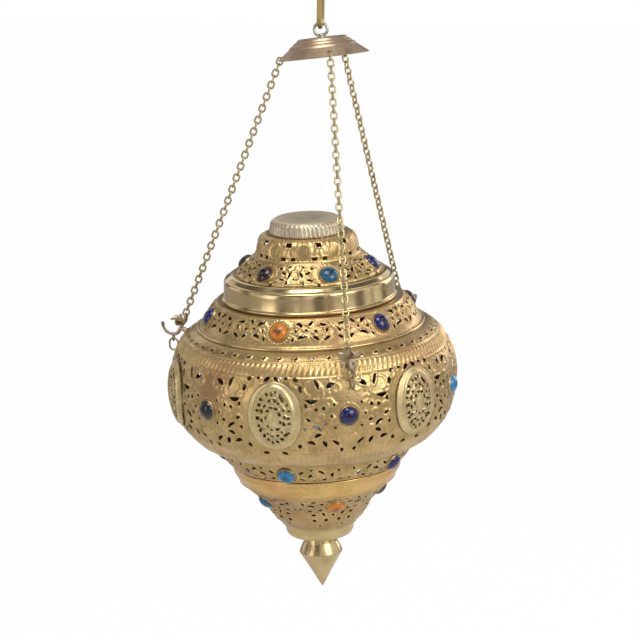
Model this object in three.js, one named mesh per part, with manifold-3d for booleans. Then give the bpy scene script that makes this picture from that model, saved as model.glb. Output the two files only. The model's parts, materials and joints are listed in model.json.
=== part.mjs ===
// A pierced brass hanging lamp for a candle, in millimetres, with +Z up.
// It hangs by a forged oval link. A ribbed canopy plate turns on that link by its wire
// eye, and three linked chains run from the canopy's rim to cast hooks on the belly.
// The origin is the inside of the link's top bend, where a ceiling hook carries it.
//
// An azimuth is measured round a piece's own axis, from the front (-Y) towards +X.

import * as THREE from 'three';
import { mergeVertices } from 'three/addons/utils/BufferGeometryUtils.js';
import Module from 'manifold-3d';

const wasm = await Module();
wasm.setup();

// Clearances
const seatGap = 0.3;         // between pieces that touch
const slideGap = 0.5;        // round the lid's skirt
const eyeGap = 0.45;         // round a chain's end link
const wall = 1.2;            // sheet of every spun brass shell

// How the lamp hangs
const plumbLean = 3.4;       // the lamp's own axis leans until its weight is below the link
const axisOffset = 21.9;     // from the lamp's axis across to the hanging point
const bellyDrop = 293.9;     // from the hanging pivot down to the belly's top edge
const canopyLeanSide = 4.2;
const canopyLeanBack = 7.0;

// Hanging link and eye
const linkWire = 4.5;
const linkInsideLength = 31;
const linkInsideWidth = 12;
const linkTurn = 12;
const eyeWire = 2.8;
const eyeInsideRadius = 5;

// Canopy plate
const canopyRadius = 44.3;
const canopyCrownRadius = 21.6;
const canopyHeight = 17.5;
const canopyRibs = 3;
const canopyRibRise = 1.1;
const canopyHoleRadius = 2.6;
const canopyBrimRadius = 33;  // the ribs end here, and the plain brim starts
const canopyHoleWeb = 2.2;   // metal left between a chain hole and the rim
const canopyHoleAngles = { front: 8, right: 152, left: -98 };
const nutRadius = 6;
const nutHeight = 4;

// Chains
const chainWire = 1.5;
const chainPitch = 6.1;
const chainLinkWidth = 7.2;
const linkBite = 0.14;       // how far neighbouring links sink into each other where they bear

// Lid: fluted crown cap, domed shell and plain collar
const crownRadius = 35.2;
const crownSkirt = 8.7;
const crownFlare = 1.5;      // its fluted skirt widens this much to its foot
const crownRise = 5.2;
const crownTopRadius = 31.5; // edge of the cap's nearly flat top
const fluteCount = 21;
const domeTopRadius = 38;
const capSeatWidth = 5;      // flat rim at the dome's top, which the crown cap sits on
const domeBulgeRadius = 50; // the rounded upper part ends here, over the pierced cone
const domeBulgeHeight = 18.5;
const domeFootRadius = 72;
const domeConeHeight = 21.5;
const ledgeRadius = 82;
const ledgeHeight = 9;
const ledgeFall = 4.8;       // the ledge slopes down this much to its edge
const collarTopRadius = 84.5;
const collarFootRadius = 86;
const collarHeight = 16.5;

// Shoulder and belly
const upstandHeight = 10;
const shoulderTopRadius = 92;
const shoulderFootInset = 1.5; // its foot stands this far in from the belly's top edge
const shoulderHeight = 27;
const bellyTopRadius = 112;
const bellyWidestRadius = 142;
const bellyWidestDepth = 57;
const bellyHeight = 116;
const bellyFootRadius = 112.5;

// Lower tier, lower collar, base tier with its cup, and the finial
const lowerTopRadius = 99;
const lowerFootRadius = 85;
const lowerHeight = 23.9;
const bandTopRadius = 84.5;
const bandSeatRadius = 70;   // its flat foot reaches in to here, over the base tier
const bandFootRadius = 78.5;
const bandHeight = 18.6;
const baseTopRadius = 76;
const baseConeRadius = 53.5; // the jewelled cone ends here, over the rounded wall
const baseConeHeight = 22.6;
const baseFootRadius = 36.5;
const baseWallHeight = 24.8;
const cupRadius = 35;
const cupHeight = 13.7;
const cupFloorRadius = 28;
const finialTopRadius = 15.5;
const finialNeckRadius = 16.9;
const finialNeckHeight = 7.7;
const finialRadius = 21.9;
const finialFlareHeight = 10.9; // from the neck out to the sharp edge over the point
const finialPointHeight = 38.9;
const studRadius = 3;
const studNutRadius = 6.5;

// Glass cabochons in their seats, and the rings of them
const jewelRadius = 8.8;
const jewelRise = 5.6;
const seatRadius = 10.3;
const seatRise = 1.3;
const seatRoot = 0.9;        // how deep a seat's rim reaches into the wall
const domeJewels = { count: 6, azimuth: 18, share: 0.6 };
const shoulderJewels = { count: 6, azimuth: -18, share: 0.42 };
const bellyJewels = { count: 6, azimuth: 13 };
const lowerJewels = { count: 5, azimuth: -19, share: 0.62 };
const baseJewels = { count: 5, azimuth: 15, share: 0.62 };

// Medallions on the belly
const medallionCount = 6;
const medallionAzimuth = -16;
const medallionHalfWidth = 27;
const medallionHalfHeight = 34.5;
const medallionRise = 4.2;
const medallionLift = 0.5; // its flat chords clear the belly's curve
const medallionRim = 1.4;

// Cast hooks with their drop rings. Places are [out, up] from the foot's middle.
const hookAngles = { front: 15, right: 135, left: -105 };
const hookEyeRise = 19;      // the chain's eye stands this far over the foot's middle
const hookStandOff = 2.2;
const hookEyeRadius = 3.6;
const hookEyeBar = 2.2;
const hookBar = 3.2;
const hookNeck = [8.5, 4];
const hookRingClear = 2.4;   // the drop ring's middle, out from the belly's widest
const hookArmLow = -2.5;
const hookTip = [10.4, 12.5]; // out and up from the bend that carries the ring
const hookFootWidth = 14;
const hookFootHeight = 7;
const hookFootThickness = 1.4;
const lobeReach = 12;
const lobeTop = 17;
const lugRadius = 2.9;
const lugBar = 1.6;
const lugBite = 0.8;         // how far the lug sinks into the arm
const dropRingWidth = 11;
const dropRingHeight = 14;
const dropRingWire = 2;

// Candle fittings inside
const trayRadius = 107;
const trayThickness = 1.2;
const trayHoleRadius = 11;
const trayHoleCount = 9;
const glassRadius = 30;
const glassHeight = 52;
const glassWall = 2.4;

// Facets
const shellSegments = 24;

const degrees = Math.PI / 180;
const pivotHeight = -(linkInsideLength + linkWire / 2);

const finishes = {
  brass: { color: 0xb39a63, roughness: 0.38, metalness: 1 },
  polished: { color: 0xc2a265, roughness: 0.22, metalness: 1 },
  aged: { color: 0x9a7f58, roughness: 0.45, metalness: 1 },
  chain: { color: 0xc3bb96, roughness: 0.35, metalness: 1 },
  steel: { color: 0x8d8d86, roughness: 0.4, metalness: 1 },
  glass: { color: 0xe8f0ee, roughness: 0.05, metalness: 0 },
  teal: { color: 0x0e6a86, roughness: 0.08, metalness: 0 },
  cobalt: { color: 0x1a1f8c, roughness: 0.08, metalness: 0 },
  garnet: { color: 0x4a1420, roughness: 0.08, metalness: 0 },
  amber: { color: 0xcf6a17, roughness: 0.08, metalness: 0 },
  smoke: { color: 0x2a3438, roughness: 0.08, metalness: 0 },
  sky: { color: 0x2f9ed0, roughness: 0.08, metalness: 0 },
};

function material(finish) {
  return new THREE.MeshStandardMaterial(finishes[finish]);
}

// Solid geometry helpers

function signedVolume(position, index) {
  const a = new THREE.Vector3();
  const b = new THREE.Vector3();
  const c = new THREE.Vector3();
  let sum = 0;
  for (let i = 0; i < index.length; i += 3) {
    a.fromArray(position, 3 * index[i]);
    b.fromArray(position, 3 * index[i + 1]);
    c.fromArray(position, 3 * index[i + 2]);
    sum += a.dot(b.cross(c)) / 6;
  }
  return sum;
}

// Makes any closed geometry a solid for joining and cutting, with its faces outwards.
function solid(geometry) {
  const bare = geometry.clone();
  bare.deleteAttribute('normal');
  bare.deleteAttribute('uv');
  const merged = mergeVertices(bare, 1e-4);
  const position = new Float32Array(merged.attributes.position.array);
  const old = merged.index.array;
  const kept = [];
  for (let i = 0; i < old.length; i += 3) {
    const [a, b, c] = [old[i], old[i + 1], old[i + 2]];
    if (a !== b && b !== c && c !== a) kept.push(a, b, c);
  }
  if (signedVolume(position, kept) < 0) kept.reverse();
  const mesh = new wasm.Mesh({
    numProp: 3,
    vertProperties: position,
    triVerts: new Uint32Array(kept),
  });
  return new wasm.Manifold(mesh);
}

function geometryOf(body) {
  const mesh = body.getMesh();
  const geometry = new THREE.BufferGeometry();
  geometry.setAttribute('position', new THREE.BufferAttribute(mesh.vertProperties, 3));
  geometry.setIndex(new THREE.BufferAttribute(mesh.triVerts, 1));
  geometry.computeVertexNormals();
  return geometry;
}

function joined(parts) {
  return parts.slice(1).reduce((body, part) => body.add(part), parts[0]);
}

function cut(body, tools) {
  return tools.length ? body.subtract(joined(tools)) : body;
}

function mesh(name, body, finish) {
  const made = new THREE.Mesh(geometryOf(body), material(finish));
  made.name = name;
  return made;
}

// A closed profile of [radius, height] points turned round the Z axis. The first facet
// is centred on the given azimuth.
function turned(points, segments, azimuth = 0) {
  const profile = [...points, points[0]].map(([r, z]) => new THREE.Vector2(r, z));
  const start = azimuth * degrees + Math.PI / segments;
  const lathe = new THREE.LatheGeometry(profile, segments, start, 2 * Math.PI);
  return lathe.rotateX(Math.PI / 2);
}

// The outline moved inwards by the sheet's thickness, as mitred offset points.
function offsetLine(points, distance) {
  const normals = points.slice(1).map(([r, z], i) => {
    const [dr, dz] = [r - points[i][0], z - points[i][1]];
    const length = Math.hypot(dr, dz);
    return [dz / length, -dr / length];
  });
  return points.map(([r, z], i) => {
    const before = normals[Math.max(i - 1, 0)];
    const after = normals[Math.min(i, normals.length - 1)];
    const [nr, nz] = [before[0] + after[0], before[1] + after[1]];
    const atEnd = i === 0 || i === points.length - 1;
    if (atEnd && Math.abs(nr) > Math.abs(nz) * 0.4) return [r + (2 * distance) / nr, z];
    const scale = (2 * distance) / (nr * nr + nz * nz);
    return [r + nr * scale, z + nz * scale];
  });
}

// A spun shell: the outer line from top to bottom, and the same line inside the sheet,
// with each open edge cut level.
function shellProfile(outer) {
  return [...outer, ...offsetLine(outer, wall).reverse()];
}

function shell(outer, azimuth) {
  return solid(turned(shellProfile(outer), shellSegments, azimuth));
}

// How far in a facet lies from the circle through the shell's corners, at an azimuth
function facetShare(azimuth) {
  const facet = 360 / shellSegments;
  const fromFirst = azimuth - hookAngles.front;
  const offset = fromFirst - facet * Math.round(fromFirst / facet);
  return Math.cos((facet / 2) * degrees) / Math.cos(offset * degrees);
}

// The frame of a point on a faceted shell: out of the wall, up the wall and along it.
function wallFrame(outer, azimuth, height) {
  const i = Math.max(1, outer.findIndex(([, z]) => z <= height));
  const [[r0, z0], [r1, z1]] = [outer[i - 1], outer[i]];
  const t = (height - z0) / (z1 - z0);
  const length = Math.hypot(r1 - r0, z1 - z0);
  const [ur, uz] = [(r0 - r1) / length, (z0 - z1) / length];
  const a = azimuth * degrees;
  const radial = new THREE.Vector3(Math.sin(a), -Math.cos(a), 0);
  const along = new THREE.Vector3(Math.cos(a), Math.sin(a), 0);
  const up = radial.clone().multiplyScalar(ur).setZ(uz);
  const out = along.clone().cross(up);
  const radius = (r0 + t * (r1 - r0)) * facetShare(azimuth);
  const origin = radial.clone().multiplyScalar(radius).setZ(height);
  return new THREE.Matrix4().makeBasis(along, up, out).setPosition(origin);
}

// A leaf or crescent drawn from its stem at the origin, bent by its two bulges.
function leafShape(length, bulge, backBulge) {
  const shape = new THREE.Shape();
  shape.moveTo(0, 0);
  shape.quadraticCurveTo(length * 0.6, bulge, length, 0);
  shape.quadraticCurveTo(length * 0.5, backBulge, 0, 0);
  return shape;
}

function prism(shape, low, high, curveSegments = 2) {
  const options = { depth: high - low, bevelEnabled: false, curveSegments };
  return new THREE.ExtrudeGeometry(shape, options).translate(0, 0, low);
}

function polygon(sides, radius) {
  const shape = new THREE.Shape();
  for (let i = 0; i < sides; i += 1) {
    const a = (2 * Math.PI * (i + 0.5)) / sides;
    const [x, y] = [radius * Math.cos(a), radius * Math.sin(a)];
    if (i === 0) shape.moveTo(x, y);
    else shape.lineTo(x, y);
  }
  shape.closePath();
  return shape;
}

// Cutters through a wall. Each opening is [azimuth, height, turn, shape].
const cutDepth = 4;

function piercings(outer, openings) {
  return openings.map(([azimuth, height, turn, shape]) => {
    const tool = prism(shape, -cutDepth, cutDepth);
    tool.rotateZ(turn * degrees).applyMatrix4(wallFrame(outer, azimuth, height));
    return solid(tool);
  });
}

function around(count, azimuth) {
  return Array.from({ length: count }, (_, k) => azimuth + (k * 360) / count);
}

// A round pad on the wall that carries a cabochon.
function jewelSeats(outer, ring, height) {
  return around(ring.count, ring.azimuth).map((azimuth) => {
    const pad = prism(polygon(6, seatRadius), -seatRoot, seatRise);
    return solid(pad.applyMatrix4(wallFrame(outer, azimuth, height)));
  });
}

function jewelMeshes(group, prefix, outer, ring, height, finishList) {
  around(ring.count, ring.azimuth).forEach((azimuth, k) => {
    const low = seatRise + seatGap;
    const profile = [
      [0, low],
      [jewelRadius, low],
      [jewelRadius * 0.8, low + jewelRise * 0.6],
      [0, low + jewelRise],
    ];
    const dome = turned(profile, 8).applyMatrix4(wallFrame(outer, azimuth, height));
    group.add(mesh(`${prefix}_${k + 1}`, solid(dome), finishList[k]));
  });
}

// Wire ring in the XY plane, its halves pulled apart along Y to the given centre lengths.
// Its section has one edge on the inside, where the ring bears on the next.
function wireLink(wire, centreWidth, centreLength, sides, segments) {
  const radius = centreWidth / 2;
  const crest = segments % 4 ? Math.cos(Math.PI / segments) : 1;
  const pull = centreLength / 2 - radius * crest;
  const mitre = wire / 2 / Math.cos(Math.PI / segments);
  const points = [];
  const index = [];
  for (let i = 0; i < segments; i += 1) {
    const turn = (2 * Math.PI * i) / segments;
    const lift = Math.abs(Math.sin(turn)) > 0.3 ? Math.sign(Math.sin(turn)) * pull : 0;
    for (let j = 0; j < sides; j += 1) {
      const roll = Math.PI + (2 * Math.PI * j) / sides;
      const reach = radius + mitre * Math.cos(roll);
      const side = (wire / 2) * Math.sin(roll);
      points.push(reach * Math.cos(turn), reach * Math.sin(turn) + lift, side);
      const [ahead, over] = [((i + 1) % segments) * sides, (j + 1) % sides];
      const [a, b, c, d] = [i * sides + j, ahead + j, i * sides + over, ahead + over];
      index.push(a, b, c, b, d, c);
    }
  }
  const geometry = new THREE.BufferGeometry();
  geometry.setAttribute('position', new THREE.Float32BufferAttribute(points, 3));
  geometry.setIndex(index);
  return geometry;
}

// A bar of round section along points, closed at both ends.
function bar(points, radius, sides = 6, steps = 6) {
  const path = new THREE.CatmullRomCurve3(points.map((p) => new THREE.Vector3(...p)));
  const section = polygon(sides, radius);
  return new THREE.ExtrudeGeometry(section, { steps, bevelEnabled: false, extrudePath: path });
}

// Lamp outlines, from the top down, with the belly's top edge at height 0

function between(t, a, b) {
  return a + t * (b - a);
}

// A convex curve from one point to another, bulging towards the corner given.
function bulge(from, corner, to, steps) {
  return Array.from({ length: steps + 1 }, (_, i) => {
    const t = i / steps;
    return [0, 1].map((k) => (1 - t) ** 2 * from[k] + 2 * t * (1 - t) * corner[k] + t * t * to[k]);
  });
}

const collarFoot = shoulderHeight + seatGap;
const collarTop = collarFoot + collarHeight;
const domeFoot = collarTop + ledgeHeight;
const domeTop = domeFoot + domeConeHeight + domeBulgeHeight;
const domeStep = domeFoot + domeConeHeight;
const lowerTop = -bellyHeight - seatGap;
const lowerFoot = lowerTop - lowerHeight;
const bandTop = lowerFoot - seatGap;
const bandFoot = bandTop - bandHeight;
const baseTop = bandFoot - seatGap;
const baseStep = baseTop - baseConeHeight;
const cupTop = baseStep - baseWallHeight;
const cupFoot = cupTop - cupHeight;
const finialTop = cupFoot - seatGap;

const upstandRadius = collarTopRadius - wall - slideGap;

const domeLine = bulge([domeTopRadius, domeTop], [domeBulgeRadius, domeTop],
  [domeBulgeRadius, domeStep], 3).concat([[domeFootRadius, domeFoot + seatGap]]);

const shoulderLine = bulge([shoulderTopRadius, shoulderHeight],
  [shoulderTopRadius + 10, shoulderHeight * 0.62],
  [bellyTopRadius - shoulderFootInset, seatGap], 2);

const bellyUpper = bulge([bellyTopRadius, 0],
  [bellyWidestRadius - 2, -bellyWidestDepth * 0.15],
  [bellyWidestRadius, -bellyWidestDepth], 4);
const bellyLower = bulge([bellyWidestRadius, -bellyWidestDepth],
  [bellyWidestRadius, between(0.64, -bellyWidestDepth, -bellyHeight)],
  [bellyFootRadius, -bellyHeight], 4);
const bellyLine = bellyUpper.concat(bellyLower.slice(1));

const lowerLine = bulge([lowerTopRadius, lowerTop],
  [lowerTopRadius - 2, between(0.6, lowerTop, lowerFoot)], [lowerFootRadius, lowerFoot], 2);
const baseLine = [[baseTopRadius, baseTop]].concat(bulge([baseConeRadius, baseStep],
  [baseConeRadius - 3.5, between(0.5, baseStep, cupTop)],
  [baseFootRadius, cupTop], 3));

// The radius of an outline at a height
function radiusAt(line, height) {
  const i = Math.max(1, line.findIndex(([, z]) => z <= height));
  const [[r0, z0], [r1, z1]] = [line[i - 1], line[i]];
  return between((height - z0) / (z1 - z0), r0, r1);
}

const jewelHeights = {
  dome: between(domeJewels.share, domeStep, domeFoot),
  shoulder: between(shoulderJewels.share, shoulderHeight, 0),
  belly: -bellyWidestDepth - 1,
  lower: between(lowerJewels.share, lowerTop, lowerFoot),
  base: between(baseJewels.share, baseTop, baseStep),
};

// One opening on each side of an azimuth, the second a mirror of the first
function paired(azimuth, aside, height, turn, shape) {
  return [[azimuth + aside, height, turn, shape], [azimuth - aside, height, 180 - turn, shape]];
}

// Hanging parts

function hangingLink() {
  const width = linkInsideWidth + linkWire;
  const length = linkInsideLength + linkWire;
  const ring = wireLink(linkWire, width, length, 6, 12);
  ring.rotateX(Math.PI / 2).rotateZ((90 - linkTurn) * degrees);
  ring.translate(0, 0, -linkInsideLength / 2);
  return mesh('hanging_link', solid(ring), 'brass');
}

const eyeDrop = eyeInsideRadius - linkWire / 2 - seatGap;
const crownDrop = eyeDrop + eyeInsideRadius + eyeWire;
const rimDrop = crownDrop + canopyHeight;

const canopySlope = canopyHeight / (canopyRadius - canopyCrownRadius);

// The cone that the brim lies on
function rimHeight(radius) {
  return -rimDrop + (canopyRadius - radius) * canopySlope;
}

function canopyOutline() {
  const points = [[studRadius + seatGap, -crownDrop], [canopyCrownRadius, -crownDrop]];
  for (let k = 0; k < canopyRibs; k += 1) {
    const middle = between((k + 0.5) / canopyRibs, canopyCrownRadius, canopyBrimRadius);
    const foot = between((k + 1) / canopyRibs, canopyCrownRadius, canopyBrimRadius);
    points.push([middle, rimHeight(middle) + canopyRibRise], [foot, rimHeight(foot)]);
  }
  return [...points, [canopyRadius, -rimDrop]];
}

const holeRadiusFromAxis = canopyRadius - canopyHoleWeb - canopyHoleRadius;
const webRadius = canopyRadius - canopyHoleWeb / 2;

function canopyPlate() {
  const body = solid(turned(shellProfile(canopyOutline()), 16));
  const drills = Object.values(canopyHoleAngles).map((azimuth) => {
    const drill = prism(polygon(6, canopyHoleRadius), -cutDepth, cutDepth);
    const a = azimuth * degrees;
    const x = holeRadiusFromAxis * Math.sin(a);
    const y = -holeRadiusFromAxis * Math.cos(a);
    return solid(drill.translate(x, y, rimHeight(holeRadiusFromAxis)));
  });
  return mesh('canopy_plate', cut(body, drills), 'aged');
}

// Wire eye with a foot flange and a threaded tail through the canopy's crown
function canopyEye() {
  const radius = eyeInsideRadius + eyeWire / 2;
  const ring = wireLink(eyeWire, 2 * radius, 2 * radius, 6, 12);
  ring.rotateX(Math.PI / 2).translate(0, 0, -eyeDrop);
  const flangeTop = -crownDrop + seatGap + 1.2;
  const tailFoot = -crownDrop - wall - seatGap - nutHeight - 1.5;
  const tail = turned([
    [0, flangeTop],
    [4, flangeTop],
    [4, -crownDrop + seatGap],
    [studRadius, -crownDrop + seatGap],
    [studRadius, tailFoot],
    [0, tailFoot],
  ], 10);
  return mesh('canopy_eye', solid(ring).add(solid(tail)), 'steel');
}

function canopyNut() {
  const top = -crownDrop - wall - seatGap;
  const blank = prism(polygon(6, nutRadius), top - nutHeight, top);
  const bore = prism(polygon(10, studRadius + seatGap), top - nutHeight - 1, top + 1);
  return mesh('canopy_nut', solid(blank).subtract(solid(bore)), 'brass');
}

// Lid

function crownCap() {
  const foot = domeTop + seatGap;
  const top = foot + crownSkirt;
  const thick = wall * 1.6;
  const dome = turned([
    [0, top + crownRise + 0.4],
    [crownTopRadius, top + crownRise],
    [between(0.65, crownTopRadius, crownRadius), top + crownRise * 0.5],
    [crownRadius, top],
    [crownRadius + crownFlare, foot],
    [crownRadius + crownFlare - thick, foot],
    [crownRadius - thick, top],
    [crownTopRadius - 1, top + crownRise - thick],
    [0, top + crownRise - wall],
  ], fluteCount);
  const flutes = around(fluteCount, 180 / fluteCount).map((azimuth) => {
    const groove = new THREE.BoxGeometry(1.6, 1.6, crownSkirt);
    groove.rotateZ(Math.PI / 4).translate(0, -crownRadius - 1.3, foot + crownSkirt / 2 - 1.5);
    return solid(groove.rotateZ(azimuth * degrees));
  });
  return mesh('crown_cap', cut(solid(dome), flutes), 'polished');
}

function lidDome() {
  const height = jewelHeights.dome;
  const leaf = leafShape(9, 5, -1);
  const openings = around(domeJewels.count, domeJewels.azimuth + 30).flatMap((azimuth) => [
    [azimuth - 7, height - 2, 20, leaf],
    [azimuth + 3, height + 3, 50, leaf],
  ]);
  const outer = [[domeTopRadius - capSeatWidth, domeTop], ...domeLine];
  const body = joined([shell(outer, hookAngles.front),
    ...jewelSeats(domeLine, domeJewels, height)]);
  return mesh('lid_dome', cut(body, piercings(domeLine, openings)), 'brass');
}

function lidCollar() {
  const ledge = collarTop + ledgeHeight;
  const outer = [
    [domeFootRadius - 8, ledge],
    [domeFootRadius + 1, ledge],
    [ledgeRadius, ledge - ledgeFall],
    [collarTopRadius, collarTop],
    [collarFootRadius, collarFoot],
  ];
  return mesh('lid_collar', shell(outer, hookAngles.front), 'polished');
}

// Body shells

function shoulder() {
  const line = shoulderLine;
  const height = jewelHeights.shoulder;
  const outer = [
    [upstandRadius, shoulderHeight + upstandHeight],
    [upstandRadius, shoulderHeight],
    ...line,
  ];
  const leaf = leafShape(10, 6, 1);
  const openings = around(shoulderJewels.count, shoulderJewels.azimuth + 30)
    .flatMap((azimuth) => [
      [azimuth - 8, height - 6, 20, leaf],
      [azimuth + 2, height + 4, -40, leaf],
    ]);
  const body = joined([shell(outer, hookAngles.front),
    ...jewelSeats(line, shoulderJewels, height)]);
  return mesh('shoulder', cut(body, piercings(line, openings)), 'brass');
}

function belly() {
  const height = jewelHeights.belly;
  const outer = [
    [bellyTopRadius - 14, 0],
    ...bellyLine,
    [lowerFootRadius + 6, -bellyHeight],
  ];
  const leaf = leafShape(10, 6, 1);
  const curl = leafShape(9, 5, -1);
  const flowers = around(bellyJewels.count, bellyJewels.azimuth).flatMap((azimuth) => [
    ...paired(azimuth, 4, height + 24, 60, leaf),
    ...paired(azimuth, 14, height + 20, 20, curl),
    ...paired(azimuth, 9, height - 24, -30, leaf),
  ]);
  const body = joined([shell(outer, hookAngles.front),
    ...jewelSeats(bellyLine, bellyJewels, height)]);
  return mesh('belly', cut(body, piercings(bellyLine, flowers)), 'brass');
}

function lowerTier() {
  const height = jewelHeights.lower;
  const leaf = leafShape(9, 5, 1);
  const openings = around(lowerJewels.count, lowerJewels.azimuth + 36).flatMap((azimuth) => [
    [azimuth - 14, height, 20, leaf],
    [azimuth + 12, height - 2, 160, leaf],
  ]);
  const body = joined([shell(lowerLine, hookAngles.front),
    ...jewelSeats(lowerLine, lowerJewels, height)]);
  return mesh('lower_tier', cut(body, piercings(lowerLine, openings)), 'brass');
}

function lowerCollar() {
  const outer = [
    [bandTopRadius, bandTop],
    [bandTopRadius, bandTop - bandHeight * 0.4],
    [bandFootRadius, bandFoot],
    [bandSeatRadius, bandFoot],
  ];
  return mesh('lower_collar', shell(outer, hookAngles.front), 'polished');
}

function baseTier() {
  const height = jewelHeights.base;
  const outer = [
    ...baseLine,
    [cupRadius, cupTop - 1.5],
    [cupRadius - 1, cupTop - cupHeight * 0.6],
    [cupFloorRadius, cupFoot],
    [studRadius + seatGap, cupFoot],
  ];
  const leaf = leafShape(8, 4, 0);
  const openings = around(baseJewels.count, baseJewels.azimuth + 36).flatMap((azimuth) => [
    [azimuth - 9, height + 1, 30, leaf],
    [azimuth + 8, height + 4, 150, leaf],
  ]);
  const body = joined([shell(outer, hookAngles.front),
    ...jewelSeats(baseLine, baseJewels, height)]);
  return mesh('base_tier', cut(body, piercings(baseLine, openings)), 'brass');
}

function finial() {
  const neck = finialTop - finialNeckHeight;
  const edge = neck - finialFlareHeight;
  const tip = edge - finialPointHeight;
  const body = turned([
    [0, finialTop],
    [finialTopRadius, finialTop],
    [finialNeckRadius, neck],
    [finialRadius, edge],
    [0, tip],
  ], 20);
  const bore = turned([
    [0, finialTop + 1],
    [studRadius + seatGap, finialTop + 1],
    [studRadius + seatGap, finialTop - 12],
    [0, finialTop - 12],
  ], 10);
  return mesh('finial', solid(body).subtract(solid(bore)), 'polished');
}

// Threaded stud with its head inside the cup, which holds the finial
function finialStud() {
  const seat = cupFoot + wall + seatGap;
  const body = turned([
    [0, seat + 3],
    [studNutRadius, seat + 3],
    [studNutRadius, seat],
    [studRadius, seat],
    [studRadius, finialTop - 11],
    [0, finialTop - 11],
  ], 10);
  return mesh('finial_stud', solid(body), 'steel');
}

// Medallion: an oval plate crowned over the belly, with a raised rim and pierced middle.
// Rings of points lie on the belly's outline; each ring is [share of the oval, rise].
function medallionGeometry(azimuth) {
  const steps = 12;
  const under = seatGap + medallionLift;
  const rings = [
    [1, under],
    [0.95, under + medallionRise * 0.45],
    [0.72, under + medallionRise * 0.8 + medallionRim],
    [0.62, under + medallionRise * 0.8],
    [0.3, under + medallionRise],
  ];
  const profile = [...rings, [0.34, under + medallionRise - wall], [0.93, under]];
  const centre = -bellyWidestDepth;
  const at = (share, rise, turn) => {
    const height = centre + share * medallionHalfHeight * Math.sin(turn);
    const across = share * medallionHalfWidth * Math.cos(turn);
    const radius = radiusAt(bellyLine, height);
    const a = azimuth * degrees + across / radius;
    return [(radius + rise) * Math.sin(a), -(radius + rise) * Math.cos(a), height];
  };
  const points = [];
  const index = [];
  profile.forEach(([share, rise], j) => {
    for (let i = 0; i < steps; i += 1) {
      points.push(...at(share, rise, (2 * Math.PI * i) / steps));
      const next = (j + 1) % profile.length;
      const k = (i + 1) % steps;
      const [a, b] = [j * steps + i, j * steps + k];
      const [c, d] = [next * steps + i, next * steps + k];
      index.push(a, b, c, b, d, c);
    }
  });
  const geometry = new THREE.BufferGeometry();
  geometry.setAttribute('position', new THREE.Float32BufferAttribute(points, 3));
  geometry.setIndex(index);
  return geometry;
}

function medallions(group) {
  around(medallionCount, medallionAzimuth).forEach((azimuth, k) => {
    group.add(mesh(`medallion_${k + 1}`, solid(medallionGeometry(azimuth)), 'polished'));
  });
}

// Places on the lamp, out along an azimuth and up

function lampPoint(radius, azimuth, height) {
  const a = azimuth * degrees;
  return new THREE.Vector3(radius * Math.sin(a), -radius * Math.cos(a), height);
}

// Hooks, in a frame whose X is outwards, Y along the wall and Z up, at the foot's middle

const footHeight = between(0.5, bellyUpper[1][1], bellyUpper[2][1]);
const footRadius = radiusAt(bellyLine, footHeight) * Math.cos(Math.PI / shellSegments);
const hookBend = [bellyWidestRadius - footRadius + hookRingClear, hookArmLow];
const lugDrop = lugRadius + hookBar / 2 - lugBite;
const ringBarDrop = lugDrop + lugRadius - lugBar / 2 - seatGap - dropRingWire / 2;

function hookFoot() {
  const frame = wallFrame(bellyLine, 0, footHeight);
  const upright = new THREE.Matrix4().makeRotationZ(Math.PI / 2);
  const plate = new THREE.BoxGeometry(hookFootWidth, hookFootHeight, hookFootThickness);
  plate.translate(0, 0, seatGap + hookFootThickness / 2);
  const origin = new THREE.Vector3().setFromMatrixPosition(frame);
  plate.applyMatrix4(frame).translate(-origin.x, -origin.y, -origin.z);
  const foot = solid(plate.applyMatrix4(upright));
  const start = seatGap + hookFootThickness / 2;
  const away = new THREE.Vector3().setFromMatrixColumn(frame, 2).multiplyScalar(start);
  const neck = bar([[-away.y, 0, away.z], [hookNeck[0], 0, hookNeck[1]]], hookBar * 0.6, 5, 1);
  return [foot, solid(neck)];
}

function hookSolid() {
  const eyeZ = hookEyeRise - hookEyeRadius;
  const [neckX, neckZ] = hookNeck;
  const [armX, armZ] = hookBend;
  const [tipX, tipZ] = [armX + hookTip[0], armZ + hookTip[1]];
  const eye = wireLink(hookEyeBar, 2 * hookEyeRadius, 2 * hookEyeRadius, 4, 8);
  eye.rotateY(Math.PI / 2).translate(hookStandOff, 0, eyeZ);
  const lug = wireLink(lugBar, 2 * lugRadius, 2 * lugRadius, 4, 8);
  lug.rotateY(Math.PI / 2).translate(armX, 0, armZ - lugDrop);
  const stem = bar([
    [hookStandOff, 0, eyeZ - hookEyeRadius],
    [between(0.6, hookStandOff, neckX), 0, between(0.45, eyeZ - hookEyeRadius, neckZ)],
    [neckX, 0, neckZ],
    [between(0.4, neckX, armX), 0, armZ + 1.6],
    [armX, 0, armZ],
    [between(0.6, armX, tipX), 0, between(0.2, armZ, tipZ)],
    [tipX, 0, between(0.65, armZ, tipZ)],
    [tipX, 0, tipZ],
  ], hookBar / 2, 5, 10);
  const lobes = [-1, 1].map((side) => bar([
    [between(0.3, hookStandOff, neckX), 0, lobeTop - 7],
    [neckX, side * lobeReach * 0.45, lobeTop - 1.5],
    [neckX + 5.5, side * lobeReach * 0.9, lobeTop],
    [neckX + 8, side * lobeReach, lobeTop - 3],
    [neckX + 6, side * lobeReach * 0.8, lobeTop - 6],
  ], hookBar * 0.6, 4, 4));
  return joined([solid(stem), solid(eye), solid(lug), ...lobes.map(solid), ...hookFoot()]);
}

function hookFrame(azimuth) {
  const out = lampPoint(1, azimuth, 0);
  const up = new THREE.Vector3(0, 0, 1);
  const along = up.clone().cross(out);
  const origin = lampPoint(footRadius, azimuth, footHeight);
  return new THREE.Matrix4().makeBasis(out, along, up).setPosition(origin);
}

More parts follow.
